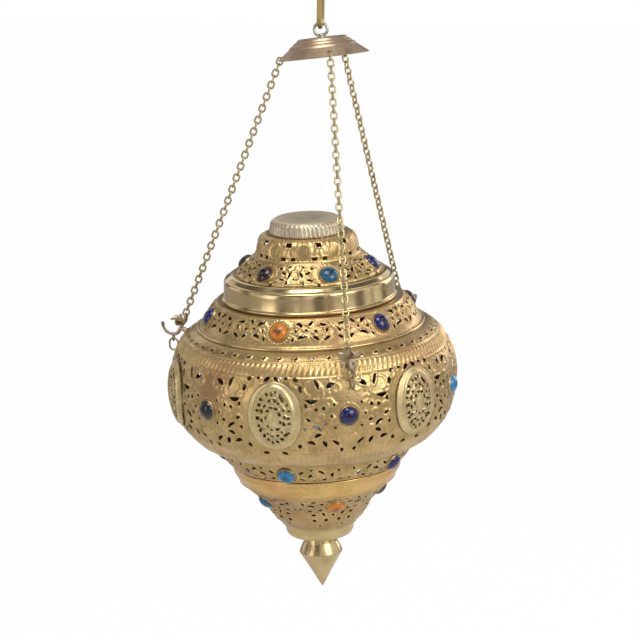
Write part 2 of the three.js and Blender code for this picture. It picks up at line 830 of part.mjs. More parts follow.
function dropRing() {
  const ring = wireLink(dropRingWire, dropRingWidth - dropRingWire,
    dropRingHeight - dropRingWire, 4, 8);
  const [armX, armZ] = hookBend;
  const centre = armZ - ringBarDrop - (dropRingHeight - dropRingWire) / 2;
  return solid(ring.rotateX(Math.PI / 2).translate(armX, 0, centre));
}

function hooksAndRings(group) {
  Object.entries(hookAngles).forEach(([side, azimuth]) => {
    const hook = mesh(`hook_${side}`, hookSolid(), 'aged');
    const ring = mesh(`drop_ring_${side}`, dropRing(), 'aged');
    [hook, ring].forEach((piece) => {
      piece.applyMatrix4(hookFrame(azimuth));
      group.add(piece);
    });
  });
}

// Chains, hung between the canopy's rim and the hooks' eyes

function towards(from, to) {
  return to.clone().sub(from).normalize();
}

function square(vector, axis) {
  return vector.clone().addScaledVector(axis, -vector.dot(axis)).normalize();
}

// One chain from top to foot. Its first link goes through a hole and round the rim, and its
// last link goes through a hook's eye; across them are the ways those two links lie.
function chain(top, foot, acrossTop, acrossFoot) {
  const down = towards(top, foot);
  const span = top.distanceTo(foot);
  const topReach = Math.hypot(canopyHoleWeb, wall) / 2 + eyeGap + chainWire / 2;
  const footReach = hookEyeBar / 2 + eyeGap + chainWire / 2;
  const bearing = chainWire - linkBite;
  const count = 2 * Math.round((span / chainPitch - 1) / 2) + 1;
  const pitch = (span + topReach + footReach - bearing) / count;
  const length = pitch + bearing;
  const first = square(acrossTop, down);
  const second = down.clone().cross(first);
  const last = square(acrossFoot, down);
  const twist = Math.atan2(last.dot(second), last.dot(first));
  const links = Array.from({ length: count }, (_, k) => {
    const turn = (k * Math.PI) / 2 + (twist * k) / (count - 1);
    const x = first.clone().multiplyScalar(Math.cos(turn)).addScaledVector(second, Math.sin(turn));
    const y = down.clone().negate();
    const centre = top.clone().addScaledVector(down, length / 2 - topReach + k * pitch);
    const place = new THREE.Matrix4().makeBasis(x, y, x.clone().cross(y)).setPosition(centre);
    const link = wireLink(chainWire, chainLinkWidth - chainWire, length, 3, 6);
    return solid(link.applyMatrix4(place));
  });
  return joined(links);
}

function chains(group, canopyPlace, lampPlace) {
  Object.keys(hookAngles).forEach((side) => {
    const radius = webRadius - (wall / 2) * Math.sin(Math.atan(canopySlope));
    const height = rimHeight(webRadius) - (wall / 2) * Math.cos(Math.atan(canopySlope));
    const top = lampPoint(radius, canopyHoleAngles[side], height).applyMatrix4(canopyPlace);
    const foot = lampPoint(footRadius + hookStandOff, hookAngles[side],
      footHeight + hookEyeRise).applyMatrix4(lampPlace);
    const acrossTop = lampPoint(1, canopyHoleAngles[side], 0).transformDirection(canopyPlace);
    const acrossFoot = lampPoint(1, hookAngles[side], 0);
    group.add(mesh(`chain_${side}`, chain(top, foot, acrossTop, acrossFoot), 'chain'));
  });
}

// Candle fittings

const trayTop = -bellyHeight + wall + seatGap + trayThickness;

function candleTray() {
  const disc = polygon(24, trayRadius);
  around(trayHoleCount, 0).forEach((azimuth) => {
    const centre = lampPoint((glassRadius + trayRadius - 16) / 2 + 8, azimuth, 0);
    const hole = new THREE.Path();
    hole.setFromPoints(polygon(6, trayHoleRadius).getPoints()
      .map((p) => new THREE.Vector2(p.x + centre.x, p.y + centre.y)));
    disc.holes.push(hole);
  });
  return mesh('candle_tray', solid(prism(disc, trayTop - trayThickness, trayTop)), 'polished');
}

const glassFloor = 4;

function candleGlass() {
  const foot = trayTop + seatGap;
  const body = turned([
    [0, foot],
    [glassRadius - 3, foot],
    [glassRadius - 1, foot + 3],
    [glassRadius, foot + glassHeight],
    [glassRadius - glassWall, foot + glassHeight],
    [glassRadius - glassWall - 1, foot + glassFloor],
    [0, foot + glassFloor],
  ], 20);
  return mesh('candle_glass', solid(body), 'glass');
}

// Colours of the glass, in order round each ring from its first azimuth
const jewelColours = {
  lid: ['teal', 'cobalt', 'amber', 'sky', 'smoke', 'garnet'],
  shoulder: ['amber', 'cobalt', 'garnet', 'sky', 'teal', 'cobalt'],
  belly: ['cobalt', 'sky', 'amber', 'cobalt', 'garnet', 'smoke'],
  lower: ['sky', 'cobalt', 'garnet', 'teal', 'smoke'],
  base: ['amber', 'smoke', 'cobalt', 'amber', 'teal'],
};

function jewels(group) {
  const rows = [
    ['lid', domeLine, domeJewels, jewelHeights.dome],
    ['shoulder', shoulderLine, shoulderJewels, jewelHeights.shoulder],
    ['belly', bellyLine, bellyJewels, jewelHeights.belly],
    ['lower', lowerLine, lowerJewels, jewelHeights.lower],
    ['base', baseLine, baseJewels, jewelHeights.base],
  ];
  rows.forEach(([name, line, ring, height]) => {
    jewelMeshes(group, `${name}_jewel`, line, ring, height, jewelColours[name]);
  });
}

// Assembly

function canopyGroup() {
  const group = new THREE.Group();
  group.rotation.set(-canopyLeanBack * degrees, -canopyLeanSide * degrees, 0);
  group.add(canopyPlate(), canopyEye(), canopyNut());
  group.updateMatrix();
  return group;
}

function lampGroup() {
  const group = new THREE.Group();
  group.position.set(-axisOffset, 0, -bellyDrop);
  group.add(crownCap(), lidDome(), lidCollar());
  group.add(shoulder(), belly(), lowerTier(), lowerCollar(), baseTier());
  group.add(finial(), finialStud(), candleTray(), candleGlass());
  medallions(group);
  jewels(group);
  hooksAndRings(group);
  group.updateMatrix();
  return group;
}

function hungGroup() {
  const group = new THREE.Group();
  group.position.z = pivotHeight;
  group.rotation.y = -plumbLean * degrees;
  const canopy = canopyGroup();
  const lamp = lampGroup();
  group.add(canopy, lamp);
  chains(group, canopy.matrix, lamp.matrix);
  return group;
}

const model = new THREE.Group();
model.add(hangingLink(), hungGroup());
export default model;
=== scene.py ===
import json
import math

import bpy
import numpy as np
from mathutils import Matrix


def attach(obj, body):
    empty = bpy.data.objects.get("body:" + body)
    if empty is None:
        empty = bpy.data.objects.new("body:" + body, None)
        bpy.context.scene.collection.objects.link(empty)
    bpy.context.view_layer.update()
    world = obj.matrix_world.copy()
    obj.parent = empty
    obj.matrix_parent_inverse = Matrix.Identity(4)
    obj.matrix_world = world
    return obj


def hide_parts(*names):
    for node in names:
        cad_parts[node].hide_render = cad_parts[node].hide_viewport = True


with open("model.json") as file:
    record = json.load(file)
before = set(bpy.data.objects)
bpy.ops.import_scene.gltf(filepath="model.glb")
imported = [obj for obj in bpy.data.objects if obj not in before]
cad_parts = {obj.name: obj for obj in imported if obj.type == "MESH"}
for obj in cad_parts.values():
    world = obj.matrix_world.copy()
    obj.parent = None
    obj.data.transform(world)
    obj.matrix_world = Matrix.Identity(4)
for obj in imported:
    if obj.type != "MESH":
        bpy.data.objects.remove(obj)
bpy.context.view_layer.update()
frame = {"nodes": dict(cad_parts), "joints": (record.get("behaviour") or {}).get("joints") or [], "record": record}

# Where the lamp hangs, and the camera
# The lid lifts along the lamp's own axis and the candle stands on it, so these two give
# the lamp's frame: millimetres, heights over the belly's top edge, azimuths from the front.

record = frame["record"]
joints = {joint["name"]: joint for joint in frame["joints"]}
mounts = {mount["name"]: mount for mount in record["mounts"]}
lamp_up = np.array(joints["lid_lift"]["axis"])
lamp_side = np.cross([0, 1, 0], lamp_up)
lamp_axes = np.array([lamp_side, [0, 1, 0], lamp_up])
candle_height = -109.0
lamp_origin = np.array(mounts["candle_seat"]["pos_m"]) - lamp_up * candle_height / 1000
pivot = np.array(joints["lamp_swing"]["pos_m"])


def in_lamp(points):
    """Points in the lamp's frame, in millimetres, as places in the part's frame in metres."""
    return np.asarray(points, float) / 1000 @ lamp_axes + lamp_origin


def around_axis(radius, azimuth, height):
    """A point on a circle round the lamp's axis. X is the radius times the azimuth's sine,
    and Y is minus the radius times its cosine."""
    a = np.radians(azimuth)
    return np.stack(np.broadcast_arrays(radius * np.sin(a), -radius * np.cos(a), height), -1)


camera_distance = 2600.0
camera_rise = math.radians(15.1)
camera_roll = math.radians(-2.55)
aim_height = -42.5
backwards = np.array([0, -math.cos(camera_rise), math.sin(camera_rise)])
camera_at = backwards * camera_distance + [0, 0, aim_height]
level = np.array([1.0, 0, 0])
overhead = np.cross(level, -backwards)
right = math.cos(camera_roll) * level + math.sin(camera_roll) * overhead
above = -math.sin(camera_roll) * level + math.cos(camera_roll) * overhead
camera = bpy.data.objects.new("camera", bpy.data.cameras.new("camera"))
pose = np.eye(4)
pose[:3, :3] = (np.array([right, above, backwards]) @ lamp_axes).T
pose[:3, 3] = in_lamp(camera_at)
camera.matrix_world = Matrix(pose.tolist())
camera.data.lens = 146.25
camera.data.shift_x = 0.0114
camera.data.shift_y = 0.0680
camera.data.clip_end = 50
bpy.context.scene.collection.objects.link(camera)
bpy.context.scene.camera = camera
bpy.context.scene.view_settings.view_transform = "Standard"

# Light, background and floor
# A white studio: a large soft lamp high on the right, a weak one on the left and a strip
# behind. The floor lies half a metre below the finial and keeps the lamp's shadow.


def linked(tree, kind, inputs=(), **settings):
    """A new node with its settings, and its inputs set by name or place to a value or link."""
    made = tree.nodes.new(kind)
    for key, value in settings.items():
        setattr(made, key, value)
    for key, value in dict(inputs).items():
        if isinstance(value, bpy.types.NodeSocket):
            tree.links.new(value, made.inputs[key])
        else:
            made.inputs[key].default_value = value
    return made


def maths(tree, operation, first, second):
    """One Math node's value."""
    return linked(tree, "ShaderNodeMath", {0: first, 1: second}, operation=operation).outputs[0]


def noise(tree, place, scale, detail=3.0, roughness=0.5):
    """Cloudy noise from 0 to 1 at a place."""
    inputs = {"Vector": place, "Scale": scale, "Detail": detail, "Roughness": roughness}
    return linked(tree, "ShaderNodeTexNoise", inputs).outputs[0]


def ranged(tree, value, low, high, to_low=0.0, to_high=1.0):
    """A value stretched from one range to another, held at its ends."""
    return linked(tree, "ShaderNodeMapRange",
                  {0: value, 1: low, 2: high, 3: to_low, 4: to_high}).outputs[0]


def soft_lamp(name, place, target, size, power, tint):
    """A square lamp of a size in metres, which looks at the target."""
    data = bpy.data.lights.new(name, "AREA")
    data.shape = "RECTANGLE"
    data.size, data.size_y = size
    data.energy = power
    data.color = tint
    lamp = bpy.data.objects.new(name, data)
    away = np.array(place, float) - target
    away /= np.linalg.norm(away)
    side = np.cross([0, 0, 1], away)
    side /= np.linalg.norm(side)
    place_matrix = np.eye(4)
    place_matrix[:3, :3] = np.array([side, np.cross(away, side), away]).T
    place_matrix[:3, 3] = place
    lamp.matrix_world = Matrix(place_matrix.tolist())
    bpy.context.scene.collection.objects.link(lamp)


middle = in_lamp([0, 0, -60])
soft_lamp("key", (1.5, -1.5, 0.75), middle, (1.3, 1.3), 20, (1, 0.98, 0.95))
soft_lamp("fill", (-1.9, -1.3, 0.1), middle, (0.8, 1.6), 7, (1, 0.96, 0.93))
soft_lamp("top", (-0.2, -0.5, 1.4), middle, (1.0, 1.0), 15.5, (1, 0.99, 0.97))
soft_lamp("rim", (1.5, 1.3, 0.2), middle, (0.8, 1.4), 9, (1, 0.93, 0.93))


def bare_tree(owner):
    """The node tree of a world or material, emptied."""
    owner.use_nodes = True
    owner.node_tree.nodes.clear()
    return owner.node_tree


def seen_straight(tree):
    """The light path's outputs, and 1 for a ray that the camera sees with no reflection."""
    path = linked(tree, "ShaderNodeLightPath").outputs
    return path, maths(tree, "MAXIMUM", path["Is Camera Ray"], path["Is Transmission Ray"])


world = bpy.data.worlds.new("studio")
bpy.context.scene.world = world
streak_stretch = (2.6, 2.6, 0.7)
ambient_level = 0.42
tree = bare_tree(world)
path, seen = seen_straight(tree)
sky_place = linked(tree, "ShaderNodeTexCoord").outputs["Generated"]
drawn = linked(tree, "ShaderNodeVectorMath", {0: sky_place, 1: streak_stretch},
               operation="MULTIPLY").outputs[0]
bright = ranged(tree, noise(tree, drawn, 1.3, 1.0), 0.44, 0.57, 0.05, 0.95)
mirrored = maths(tree, "MULTIPLY", path["Is Glossy Ray"], bright)
share = maths(tree, "MAXIMUM", seen, mirrored)
ambient = maths(tree, "MULTIPLY", path["Is Diffuse Ray"], ambient_level)
strength = maths(tree, "MAXIMUM", share, ambient)
background = linked(tree, "ShaderNodeBackground", {0: (1, 1, 1, 1), 1: strength})
linked(tree, "ShaderNodeOutputWorld", {0: background.outputs[0]})

floor_height = -1.1
floor_mesh = bpy.data.meshes.new("floor")
corners = [(-6, -6), (6, -6), (6, 8), (-6, 8)]
floor_mesh.from_pydata([(x, y, floor_height) for x, y in corners], [], [(0, 1, 2, 3)])
floor = bpy.data.objects.new("floor", floor_mesh)
bpy.context.scene.collection.objects.link(floor)
floor_paint = bpy.data.materials.new("pale_floor")
floor_glow_share = 0.985
tree = bare_tree(floor_paint)
_, seen = seen_straight(tree)
matt = linked(tree, "ShaderNodeBsdfDiffuse", {0: (0.93, 0.93, 0.93, 1)}).outputs[0]
glow = linked(tree, "ShaderNodeEmission", {0: (1, 1, 1, 1), 1: 1.0}).outputs[0]
mixed = linked(tree, "ShaderNodeMixShader",
               {0: maths(tree, "MULTIPLY", seen, floor_glow_share), 1: matt, 2: glow}).outputs[0]
linked(tree, "ShaderNodeOutputMaterial", {0: mixed})
floor_mesh.materials.append(floor_paint)

# Hanging link
# A long oval of drawn brass wire, bent round and brazed. A ceiling hook carries it, and
# the canopy's wire eye hangs in it. The wire is dull from handling.

link_wire = 4.5
link_centre_width = 16.5
link_centre_length = 35.5
link_middle = -15.5
link_heading = 78.0


def grid_faces(rows, columns, wrap_rows=False, wrap_columns=False):
    """Quads of a grid of points, whose normals are the row's way crossed with the column's."""
    i = np.arange(rows if wrap_rows else rows - 1)[:, None]
    j = np.arange(columns if wrap_columns else columns - 1)[None, :]
    below, beside = (i + 1) % rows, (j + 1) % columns
    corners = [i * columns + j, below * columns + j, below * columns + beside,
               i * columns + beside]
    return np.stack(np.broadcast_arrays(*corners), -1)


def surface(points, wrap_rows=False, wrap_columns=False):
    """A grid of points as (flat points, quads)."""
    rows, columns = points.shape[:2]
    faces = grid_faces(rows, columns, wrap_rows, wrap_columns)
    return points.reshape(-1, 3), faces.reshape(-1, 4)


def combined(parts):
    """Several (points, quads) as one, the quads of each counted on from those before it."""
    counts = np.cumsum([0] + [len(points) for points, _ in parts[:-1]])
    points = np.concatenate([points for points, _ in parts])
    return points, np.concatenate([faces + n for (_, faces), n in zip(parts, counts)])


def copies(part, origins, axes):
    """One (points, quads) set at many origins, along the rows of each one's axes."""
    points, faces = part
    placed = np.einsum("pk,nkc->npc", points, axes) + origins[:, None, :]
    shifts = np.arange(len(origins))[:, None, None] * len(points)
    return placed.reshape(-1, 3), (faces[None] + shifts).reshape(-1, 4)


def oval_ring(wire, centre_width, centre_length, steps, sides, flat=1.0):
    """A wire of round section along a circle whose two halves are pulled apart along Y."""
    radius = centre_width / 2
    pull = centre_length / 2 - radius
    turn = (2 * np.pi * (np.arange(steps) + 0.5) / steps)[:, None]
    roll = (2 * np.pi * np.arange(sides) / sides)[None, :]
    reach = radius + wire / 2 * np.cos(roll)
    x = reach * np.cos(turn)
    y = reach * np.sin(turn) + np.sign(np.sin(turn)) * pull
    z = wire / 2 * flat * np.sin(roll) + 0 * turn
    return surface(np.stack([x, y, z], -1), True, True)


def tube(centres, radii, sides, reference, squash=1.0):
    """A bar along a line of centres: at each, a circle square to the line, whose height
    along the reference is squashed. Both ends close on a point."""
    centres = np.asarray(centres, float)
    radii = np.broadcast_to(radii, len(centres)).astype(float)
    centres = np.concatenate([centres[:1], centres, centres[-1:]])
    radii = np.concatenate([[1e-4], radii, [1e-4]])
    ahead = np.gradient(centres, axis=0)
    ahead[0], ahead[-1] = ahead[1], ahead[-2]
    ahead /= np.linalg.norm(ahead, axis=1, keepdims=True)
    side = np.cross(ahead, reference)
    side /= np.linalg.norm(side, axis=1, keepdims=True)
    lift = np.cross(side, ahead)
    roll = (2 * np.pi * np.arange(sides) / sides)[None, :, None]
    section = np.cos(roll) * side[:, None] + squash * np.sin(roll) * lift[:, None]
    return surface(centres[:, None] + radii[:, None, None] * section, False, True)


def curve_through(points, steps):
    """A smooth line through points: cubic pieces with each slope from its neighbours."""
    points = np.asarray(points, float)
    ends = np.concatenate([[2 * points[0] - points[1]], points, [2 * points[-1] - points[-2]]])
    t = np.linspace(0, len(points) - 1, steps)
    k = np.minimum(t.astype(int), len(points) - 2)
    f = (t - k)[:, None]
    a, b, c, d = ends[k], ends[k + 1], ends[k + 2], ends[k + 3]
    slope_b, slope_c = (c - a) / 2, (d - b) / 2
    return ((2 * f**3 - 3 * f**2 + 1) * b + (f**3 - 2 * f**2 + f) * slope_b
            + (3 * f**2 - 2 * f**3) * c + (f**3 - f**2) * slope_c)


def piece(name, part, finish, body, nodes=(), values=None, sharp=40):
    """A mesh object in metres that rides on a body and stands for its CAD nodes. values are
    numbers kept at its points for the finish, and edges past the sharp angle stay crisp."""
    points, faces = part
    made = bpy.data.meshes.new(name)
    made.vertices.add(len(points))
    made.vertices.foreach_set("co", points.astype(np.float32).ravel())
    made.loops.add(faces.size)
    made.loops.foreach_set("vertex_index", faces.astype(np.int32).ravel())
    made.polygons.add(len(faces))
    made.polygons.foreach_set("loop_start", np.arange(0, faces.size, 4, dtype=np.int32))
    if values is not None:
        kept = made.attributes.new("relief", "FLOAT", "POINT")
        kept.data.foreach_set("value", values.astype(np.float32).ravel())
    made.update(calc_edges=True)
    made.validate()
    made.shade_smooth()
    made.set_sharp_from_angle(angle=math.radians(sharp))
    made.materials.append(finish)
    body_object = bpy.data.objects.new(name, made)
    bpy.context.scene.collection.objects.link(body_object)
    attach(body_object, body)
    if nodes:
        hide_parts(*nodes)
    return body_object


def srgb(red, green, blue):
    """A colour given as screen values from 0 to 255, as a shader colour."""
    c = np.array([red, green, blue]) / 255
    return tuple(np.where(c < 0.04045, c / 12.92, ((c + 0.055) / 1.055) ** 2.4)) + (1.0,)


def blended(tree, share, first, second):
    """A colour between two."""
    mix = linked(tree, "ShaderNodeMix", {0: share, 6: first, 7: second}, data_type="RGBA")
    return mix.outputs[2]


def brass_patina_and_shade():
    """Node group for aged brass. Cloudy patches shift its colour to a warm rose and to an
    olive tarnish, low relief is darker as tarnish and painted shade, and the grain gives a fine uneven height."""
    group = bpy.data.node_groups.new("brass_patina_and_shade", "ShaderNodeTree")
    face = group.interface
    for label in ("Bright", "Tarnish", "Rose"):
        face.new_socket(label, in_out="INPUT", socket_type="NodeSocketColor")
    for label in ("Relief", "Deepening", "Patches", "Grain", "Roughness"):
        face.new_socket(label, in_out="INPUT", socket_type="NodeSocketFloat")
    face.new_socket("Color", in_out="OUTPUT", socket_type="NodeSocketColor")
    face.new_socket("Roughness", in_out="OUTPUT", socket_type="NodeSocketFloat")
    face.new_socket("Height", in_out="OUTPUT", socket_type="NodeSocketFloat")
    given = group.nodes.new("NodeGroupInput").outputs
    place = linked(group, "ShaderNodeTexCoord").outputs["Object"]
    broad = noise(group, place, 14.0, 3.0)
    cloud = noise(group, place, 55.0, 4.0, 0.6)
    fleck = noise(group, place, given["Grain"], 3.0, 0.6)
    olive = maths(group, "MULTIPLY", ranged(group, cloud, 0.42, 0.68), given["Patches"])
    toned = blended(group, olive, given["Bright"], given["Tarnish"])
    warm = maths(group, "MULTIPLY", ranged(group, broad, 0.5, 0.72), given["Patches"])
    toned = blended(group, warm, toned, given["Rose"])
    # Painted shade with tarnish: low relief, the edges of holes and the inner sides of the sheets are mixed
    # towards a dark brown.
    low = ranged(group, given["Relief"], 0.0, 0.55, 1.0, 0.0)
    deep = maths(group, "MULTIPLY", low, given["Deepening"])
    toned = blended(group, deep, toned, srgb(62, 44, 26))
    speck = ranged(group, fleck, 0.3, 0.7, 0.86, 1.08)
    shade = linked(group, "ShaderNodeVectorMath", {0: toned, 1: speck}, operation="MULTIPLY")
    rough = maths(group, "ADD", given["Roughness"],
                   ranged(group, cloud, 0.3, 0.7, -0.05, 0.09))
    linked(group, "NodeGroupOutput", {0: shade.outputs[0], 1: rough, 2: fleck})
    return group


patina_and_shade_group = brass_patina_and_shade()
brass_metallic = 0.9


def shaded(tree, inputs):
    """The material's shader with these inputs, joined to its output."""
    shader = linked(tree, "ShaderNodeBsdfPrincipled", inputs)
    linked(tree, "ShaderNodeOutputMaterial", {0: shader.outputs[0]})


def brass(name, bright, tarnish, rose, roughness=0.34, patches=0.6, deepening=0.0,
          grain=700.0, bump=0.00006):
    """Aged brass: a metallic surface whose colour, roughness and grain come from the patina, and
    whose low relief is painted dark, as painted shade and tarnish, where deepening is set. Its three colours are
    given as screen values."""
    finish = bpy.data.materials.new(name)
    tree = bare_tree(finish)
    group = linked(tree, "ShaderNodeGroup", node_tree=patina_and_shade_group)
    values = {"Bright": srgb(*bright), "Tarnish": srgb(*tarnish), "Rose": srgb(*rose),
              "Deepening": deepening, "Patches": patches, "Grain": grain,
              "Roughness": roughness}
    for key, value in values.items():
        group.inputs[key].default_value = value
    # deepening sets how far low relief, hole edges and inner sides are painted dark: painted shade together with
    # tarnish.
    if deepening:
        relief = linked(tree, "ShaderNodeAttribute", attribute_name="relief")
        tree.links.new(relief.outputs["Fac"], group.inputs["Relief"])
    else:
        group.inputs["Relief"].default_value = 1.0
    raised = linked(tree, "ShaderNodeBump", {"Strength": 1.0, "Distance": bump,
                                             "Height": group.outputs["Height"]})
    shaded(tree, {"Base Color": group.outputs["Color"], "Normal": raised.outputs[0],
                  "Roughness": group.outputs["Roughness"], "Metallic": brass_metallic})
    return finish


worn_brass = brass("worn_brass", (190, 174, 112), (136, 126, 70), (172, 134, 98),
                   roughness=0.4, grain=1100.0)
heading = math.radians(link_heading)
link_axes = np.array([[math.cos(heading), math.sin(heading), 0], [0, 0, 1],
                      [math.sin(heading), -math.cos(heading), 0]])
points, quads = oval_ring(link_wire, link_centre_width, link_centre_length, 56, 16)
points = points / 1000 @ link_axes + [0, 0, link_middle / 1000]
piece("hanging_link_forged", (points, quads), worn_brass, "hanger", ["hanging_link"])

# Canopy plate, its eye and nut
# A spun cone of rose brass with three turned ribs and a plain brim, which leans back on
# its bright steel wire eye. Each chain's first link goes through a hole near the rim.

canopy_lean_side = 4.2
canopy_lean_back = 7.0
eye_wire = 2.8
eye_centre_radius = 6.4
eye_drop = 2.45
crown_drop = 10.25
rim_drop = 27.75
canopy_radius = 44.3
crown_radius = 21.6
brim_radius = 33.0
canopy_hole_radius = 2.6
hole_circle = 39.5
canopy_holes = {"front": 8.0, "right": 152.0, "left": -98.0}
sheet_wall = 1.2
# The inner face of every pierced sheet gets this low tone, so it is painted darker as shade inside the lamp.
inside_painted_shade_tone = 0.35


def turn_about(axis, angle):
    """The 3 by 3 matrix that turns points about an axis by an angle in degrees."""
    return np.array(Matrix.Rotation(math.radians(angle), 3, axis))


canopy_axes = (lamp_axes.T @ turn_about("X", -canopy_lean_back)
               @ turn_about("Y", -canopy_lean_side)).T


def in_canopy(points):
    """Points in the canopy's leaning frame, in millimetres, as places in the part's frame."""
    return np.asarray(points, float) / 1000 @ canopy_axes + pivot


def bowed(start, corner, end, steps):
    """A curve that leaves start and reaches end along its lines to the corner."""
    t = np.linspace(0, 1, steps)[:, None]
    start, corner, end = map(np.array, (start, corner, end))
    return (1 - t) ** 2 * start + 2 * t * (1 - t) * corner + t**2 * end


def outline(*runs):
    """Joins runs of [radius, height] points, and returns their arc lengths and points."""
    points = np.concatenate([np.atleast_2d(np.array(run, float)) for run in runs])
    steps = np.linalg.norm(np.diff(points, axis=0), axis=1)
    points = points[np.concatenate([[True], steps > 1e-6])]
    lengths = np.concatenate([[0], np.cumsum(np.linalg.norm(np.diff(points, axis=0), axis=1))])
    return lengths, points


def along_line(line, s):
    """Radius, height and outward normal of an outline at arc lengths s from its start."""
    lengths, points = line
    ahead, behind = np.minimum(s + 0.4, lengths[-1]), np.maximum(s - 0.4, 0)
    radius, height = (np.interp(s, lengths, points[:, k]) for k in (0, 1))
    dr, dz = (np.interp(ahead, lengths, points[:, k]) - np.interp(behind, lengths, points[:, k])
              for k in (0, 1))
    length = np.hypot(dr, dz) + 1e-9
    return radius, height, -dz / length, dr / length


def thickened(points, faces, wall):
    """A sheet as a closed solid: its inner side is moved back along the normals by the
    wall, and a rim closes every open edge."""
    corner = points[faces]
    flat = np.cross(corner[:, 2] - corner[:, 0], corner[:, 3] - corner[:, 1])
    normal = np.zeros_like(points)
    for k in range(4):
        np.add.at(normal, faces[:, k], flat)
    length = np.linalg.norm(normal, axis=1, keepdims=True)
    inner = points - wall * normal / np.maximum(length, 1e-12)
    count = len(points)
    starts = faces.ravel()
    ends = np.roll(faces, -1, axis=1).ravel()
    lone = ~np.isin(starts * count + ends, ends * count + starts)
    rim = np.stack([ends[lone], starts[lone], starts[lone] + count, ends[lone] + count], -1)
    solid = np.concatenate([points, inner])
    return tidy(solid, np.concatenate([faces, faces[:, ::-1] + count, rim]))


def tidy(points, faces):
    """Drops the points that no quad uses."""
    used = np.unique(faces)
    order = np.zeros(len(points), int)
    order[used] = np.arange(len(used))
    kept = order[faces]
    return points[used], kept, used


def pierced(across, down, scale, openings, shape, wall, wrap=False):
    """A sheet over a grid of two coordinates, with its openings left out.

    openings gives how far a point lies outside the nearest opening, in millimetres. Grid
    points within about half a row of an edge slide onto it, square to it, and a face with
    its middle in an opening is dropped. Faces that would touch at a corner alone stay.
    scale is millimetres per unit across, and shape gives points and relief."""
    slide = 0.62 * np.abs(np.diff(down, axis=0)).mean()
    probe = 0.15
    edge = openings(across, down)
    slope_a = (openings(across + probe / scale, down) - edge) / probe
    slope_d = (openings(across, down + probe) - edge) / probe
    steep = slope_a**2 + slope_d**2 + 1e-3
    reach = np.abs(edge) / np.sqrt(steep)
    move = np.where(reach < slide, -edge / steep, 0)
    inside = np.ones(across.shape, bool)
    inside[0], inside[-1] = False, False
    if not wrap:
        inside[:, 0], inside[:, -1] = False, False
    move = np.where(inside, move, 0)
    across = across + move * slope_a / scale
    down = down + move * slope_d
    rows, columns = across.shape
    faces = grid_faces(rows, columns, False, wrap)
    beside = np.roll(across, -1, axis=1)
    if wrap:
        beside[:, -1] = across[:, 0] + 360
    middle_across = (across + beside) / 2
    middle_down = (down + np.roll(down, -1, axis=1)) / 2
    middle_across = (middle_across[:-1] + middle_across[1:]) / 2
    middle_down = (middle_down[:-1] + middle_down[1:]) / 2
    limit = columns if wrap else columns - 1
    kept = openings(middle_across[:, :limit], middle_down[:, :limit]) > 0
    for _ in range(3):
        a, b, c, d = kept[:-1, :-1], kept[:-1, 1:], kept[1:, :-1], kept[1:, 1:]
        kept[:-1, :-1] |= b & c & ~a & ~d
        kept[:-1, 1:] |= a & d & ~b & ~c
    points, relief = shape(across, down)
    solid, quads, used = thickened(points.reshape(-1, 3), faces[kept], wall)
    # The inner face gets the low tone: painted shade inside the lamp.
    both = np.concatenate([relief.ravel(), np.full(relief.size, inside_painted_shade_tone)])
    return (solid, quads), both[used]


rose_brass = brass("rose_brass", (182, 158, 132), (136, 112, 84), (152, 112, 92),
                   roughness=0.36, patches=0.75, grain=500.0)
steel_wire = brass("steel_wire", (192, 190, 182), (146, 142, 130), (180, 166, 156),
                   roughness=0.3, patches=0.4, grain=900.0)

canopy_slope = (rim_drop - crown_drop) / (canopy_radius - crown_radius)
rib_depth = 1.1
ribs = np.linspace(0, 1, 43)
rib_radius = crown_radius + ribs * (brim_radius - crown_radius)
rib_height = -rim_drop + (canopy_radius - rib_radius) * canopy_slope + rib_depth * np.abs(
    np.sin(3 * np.pi * ribs)) ** 0.7
canopy_line = outline([[3.3, -crown_drop], [crown_radius - 1.5, -crown_drop]],
                      np.stack([rib_radius, rib_height], -1),
                      [[canopy_radius - 1.2, -rim_drop + 1.2 * canopy_slope],
                       [canopy_radius, -rim_drop]])


def canopy_openings(azimuth, down):
    """Three round holes near the rim, one for each chain."""
    radius, *_ = along_line(canopy_line, down)
    edge = np.full(azimuth.shape, 9.0)
    for angle in canopy_holes.values():
        off = (azimuth - angle + 180) % 360 - 180
        slant = (radius - hole_circle) * math.hypot(1, canopy_slope)
        edge = np.minimum(edge, np.hypot(np.radians(off) * radius, slant) - canopy_hole_radius)
    return edge


def canopy_shape(azimuth, down):
    """The outline turned round the canopy's axis."""
    radius, height, *_ = along_line(canopy_line, down)
    return in_canopy(around_axis(radius, azimuth, height)), np.ones(azimuth.shape)


down = np.concatenate([np.linspace(0, 17, 8), np.linspace(18, canopy_line[0][-1], 44)])
azimuth, down = np.meshgrid(np.arange(0, 360, 1.5), down)
part, _ = pierced(azimuth, down, np.radians(along_line(canopy_line, down)[0]),
                  canopy_openings, canopy_shape, sheet_wall / 1000, wrap=True)
piece("canopy_spun", part, rose_brass, "lamp", ["canopy_plate"], sharp=55)


def set_at(part, middle, axes):
    """One (points, quads) with its X, Y and Z turned along the axes' rows, and moved."""
    return copies(part, np.array([middle], float), np.array([axes], float))


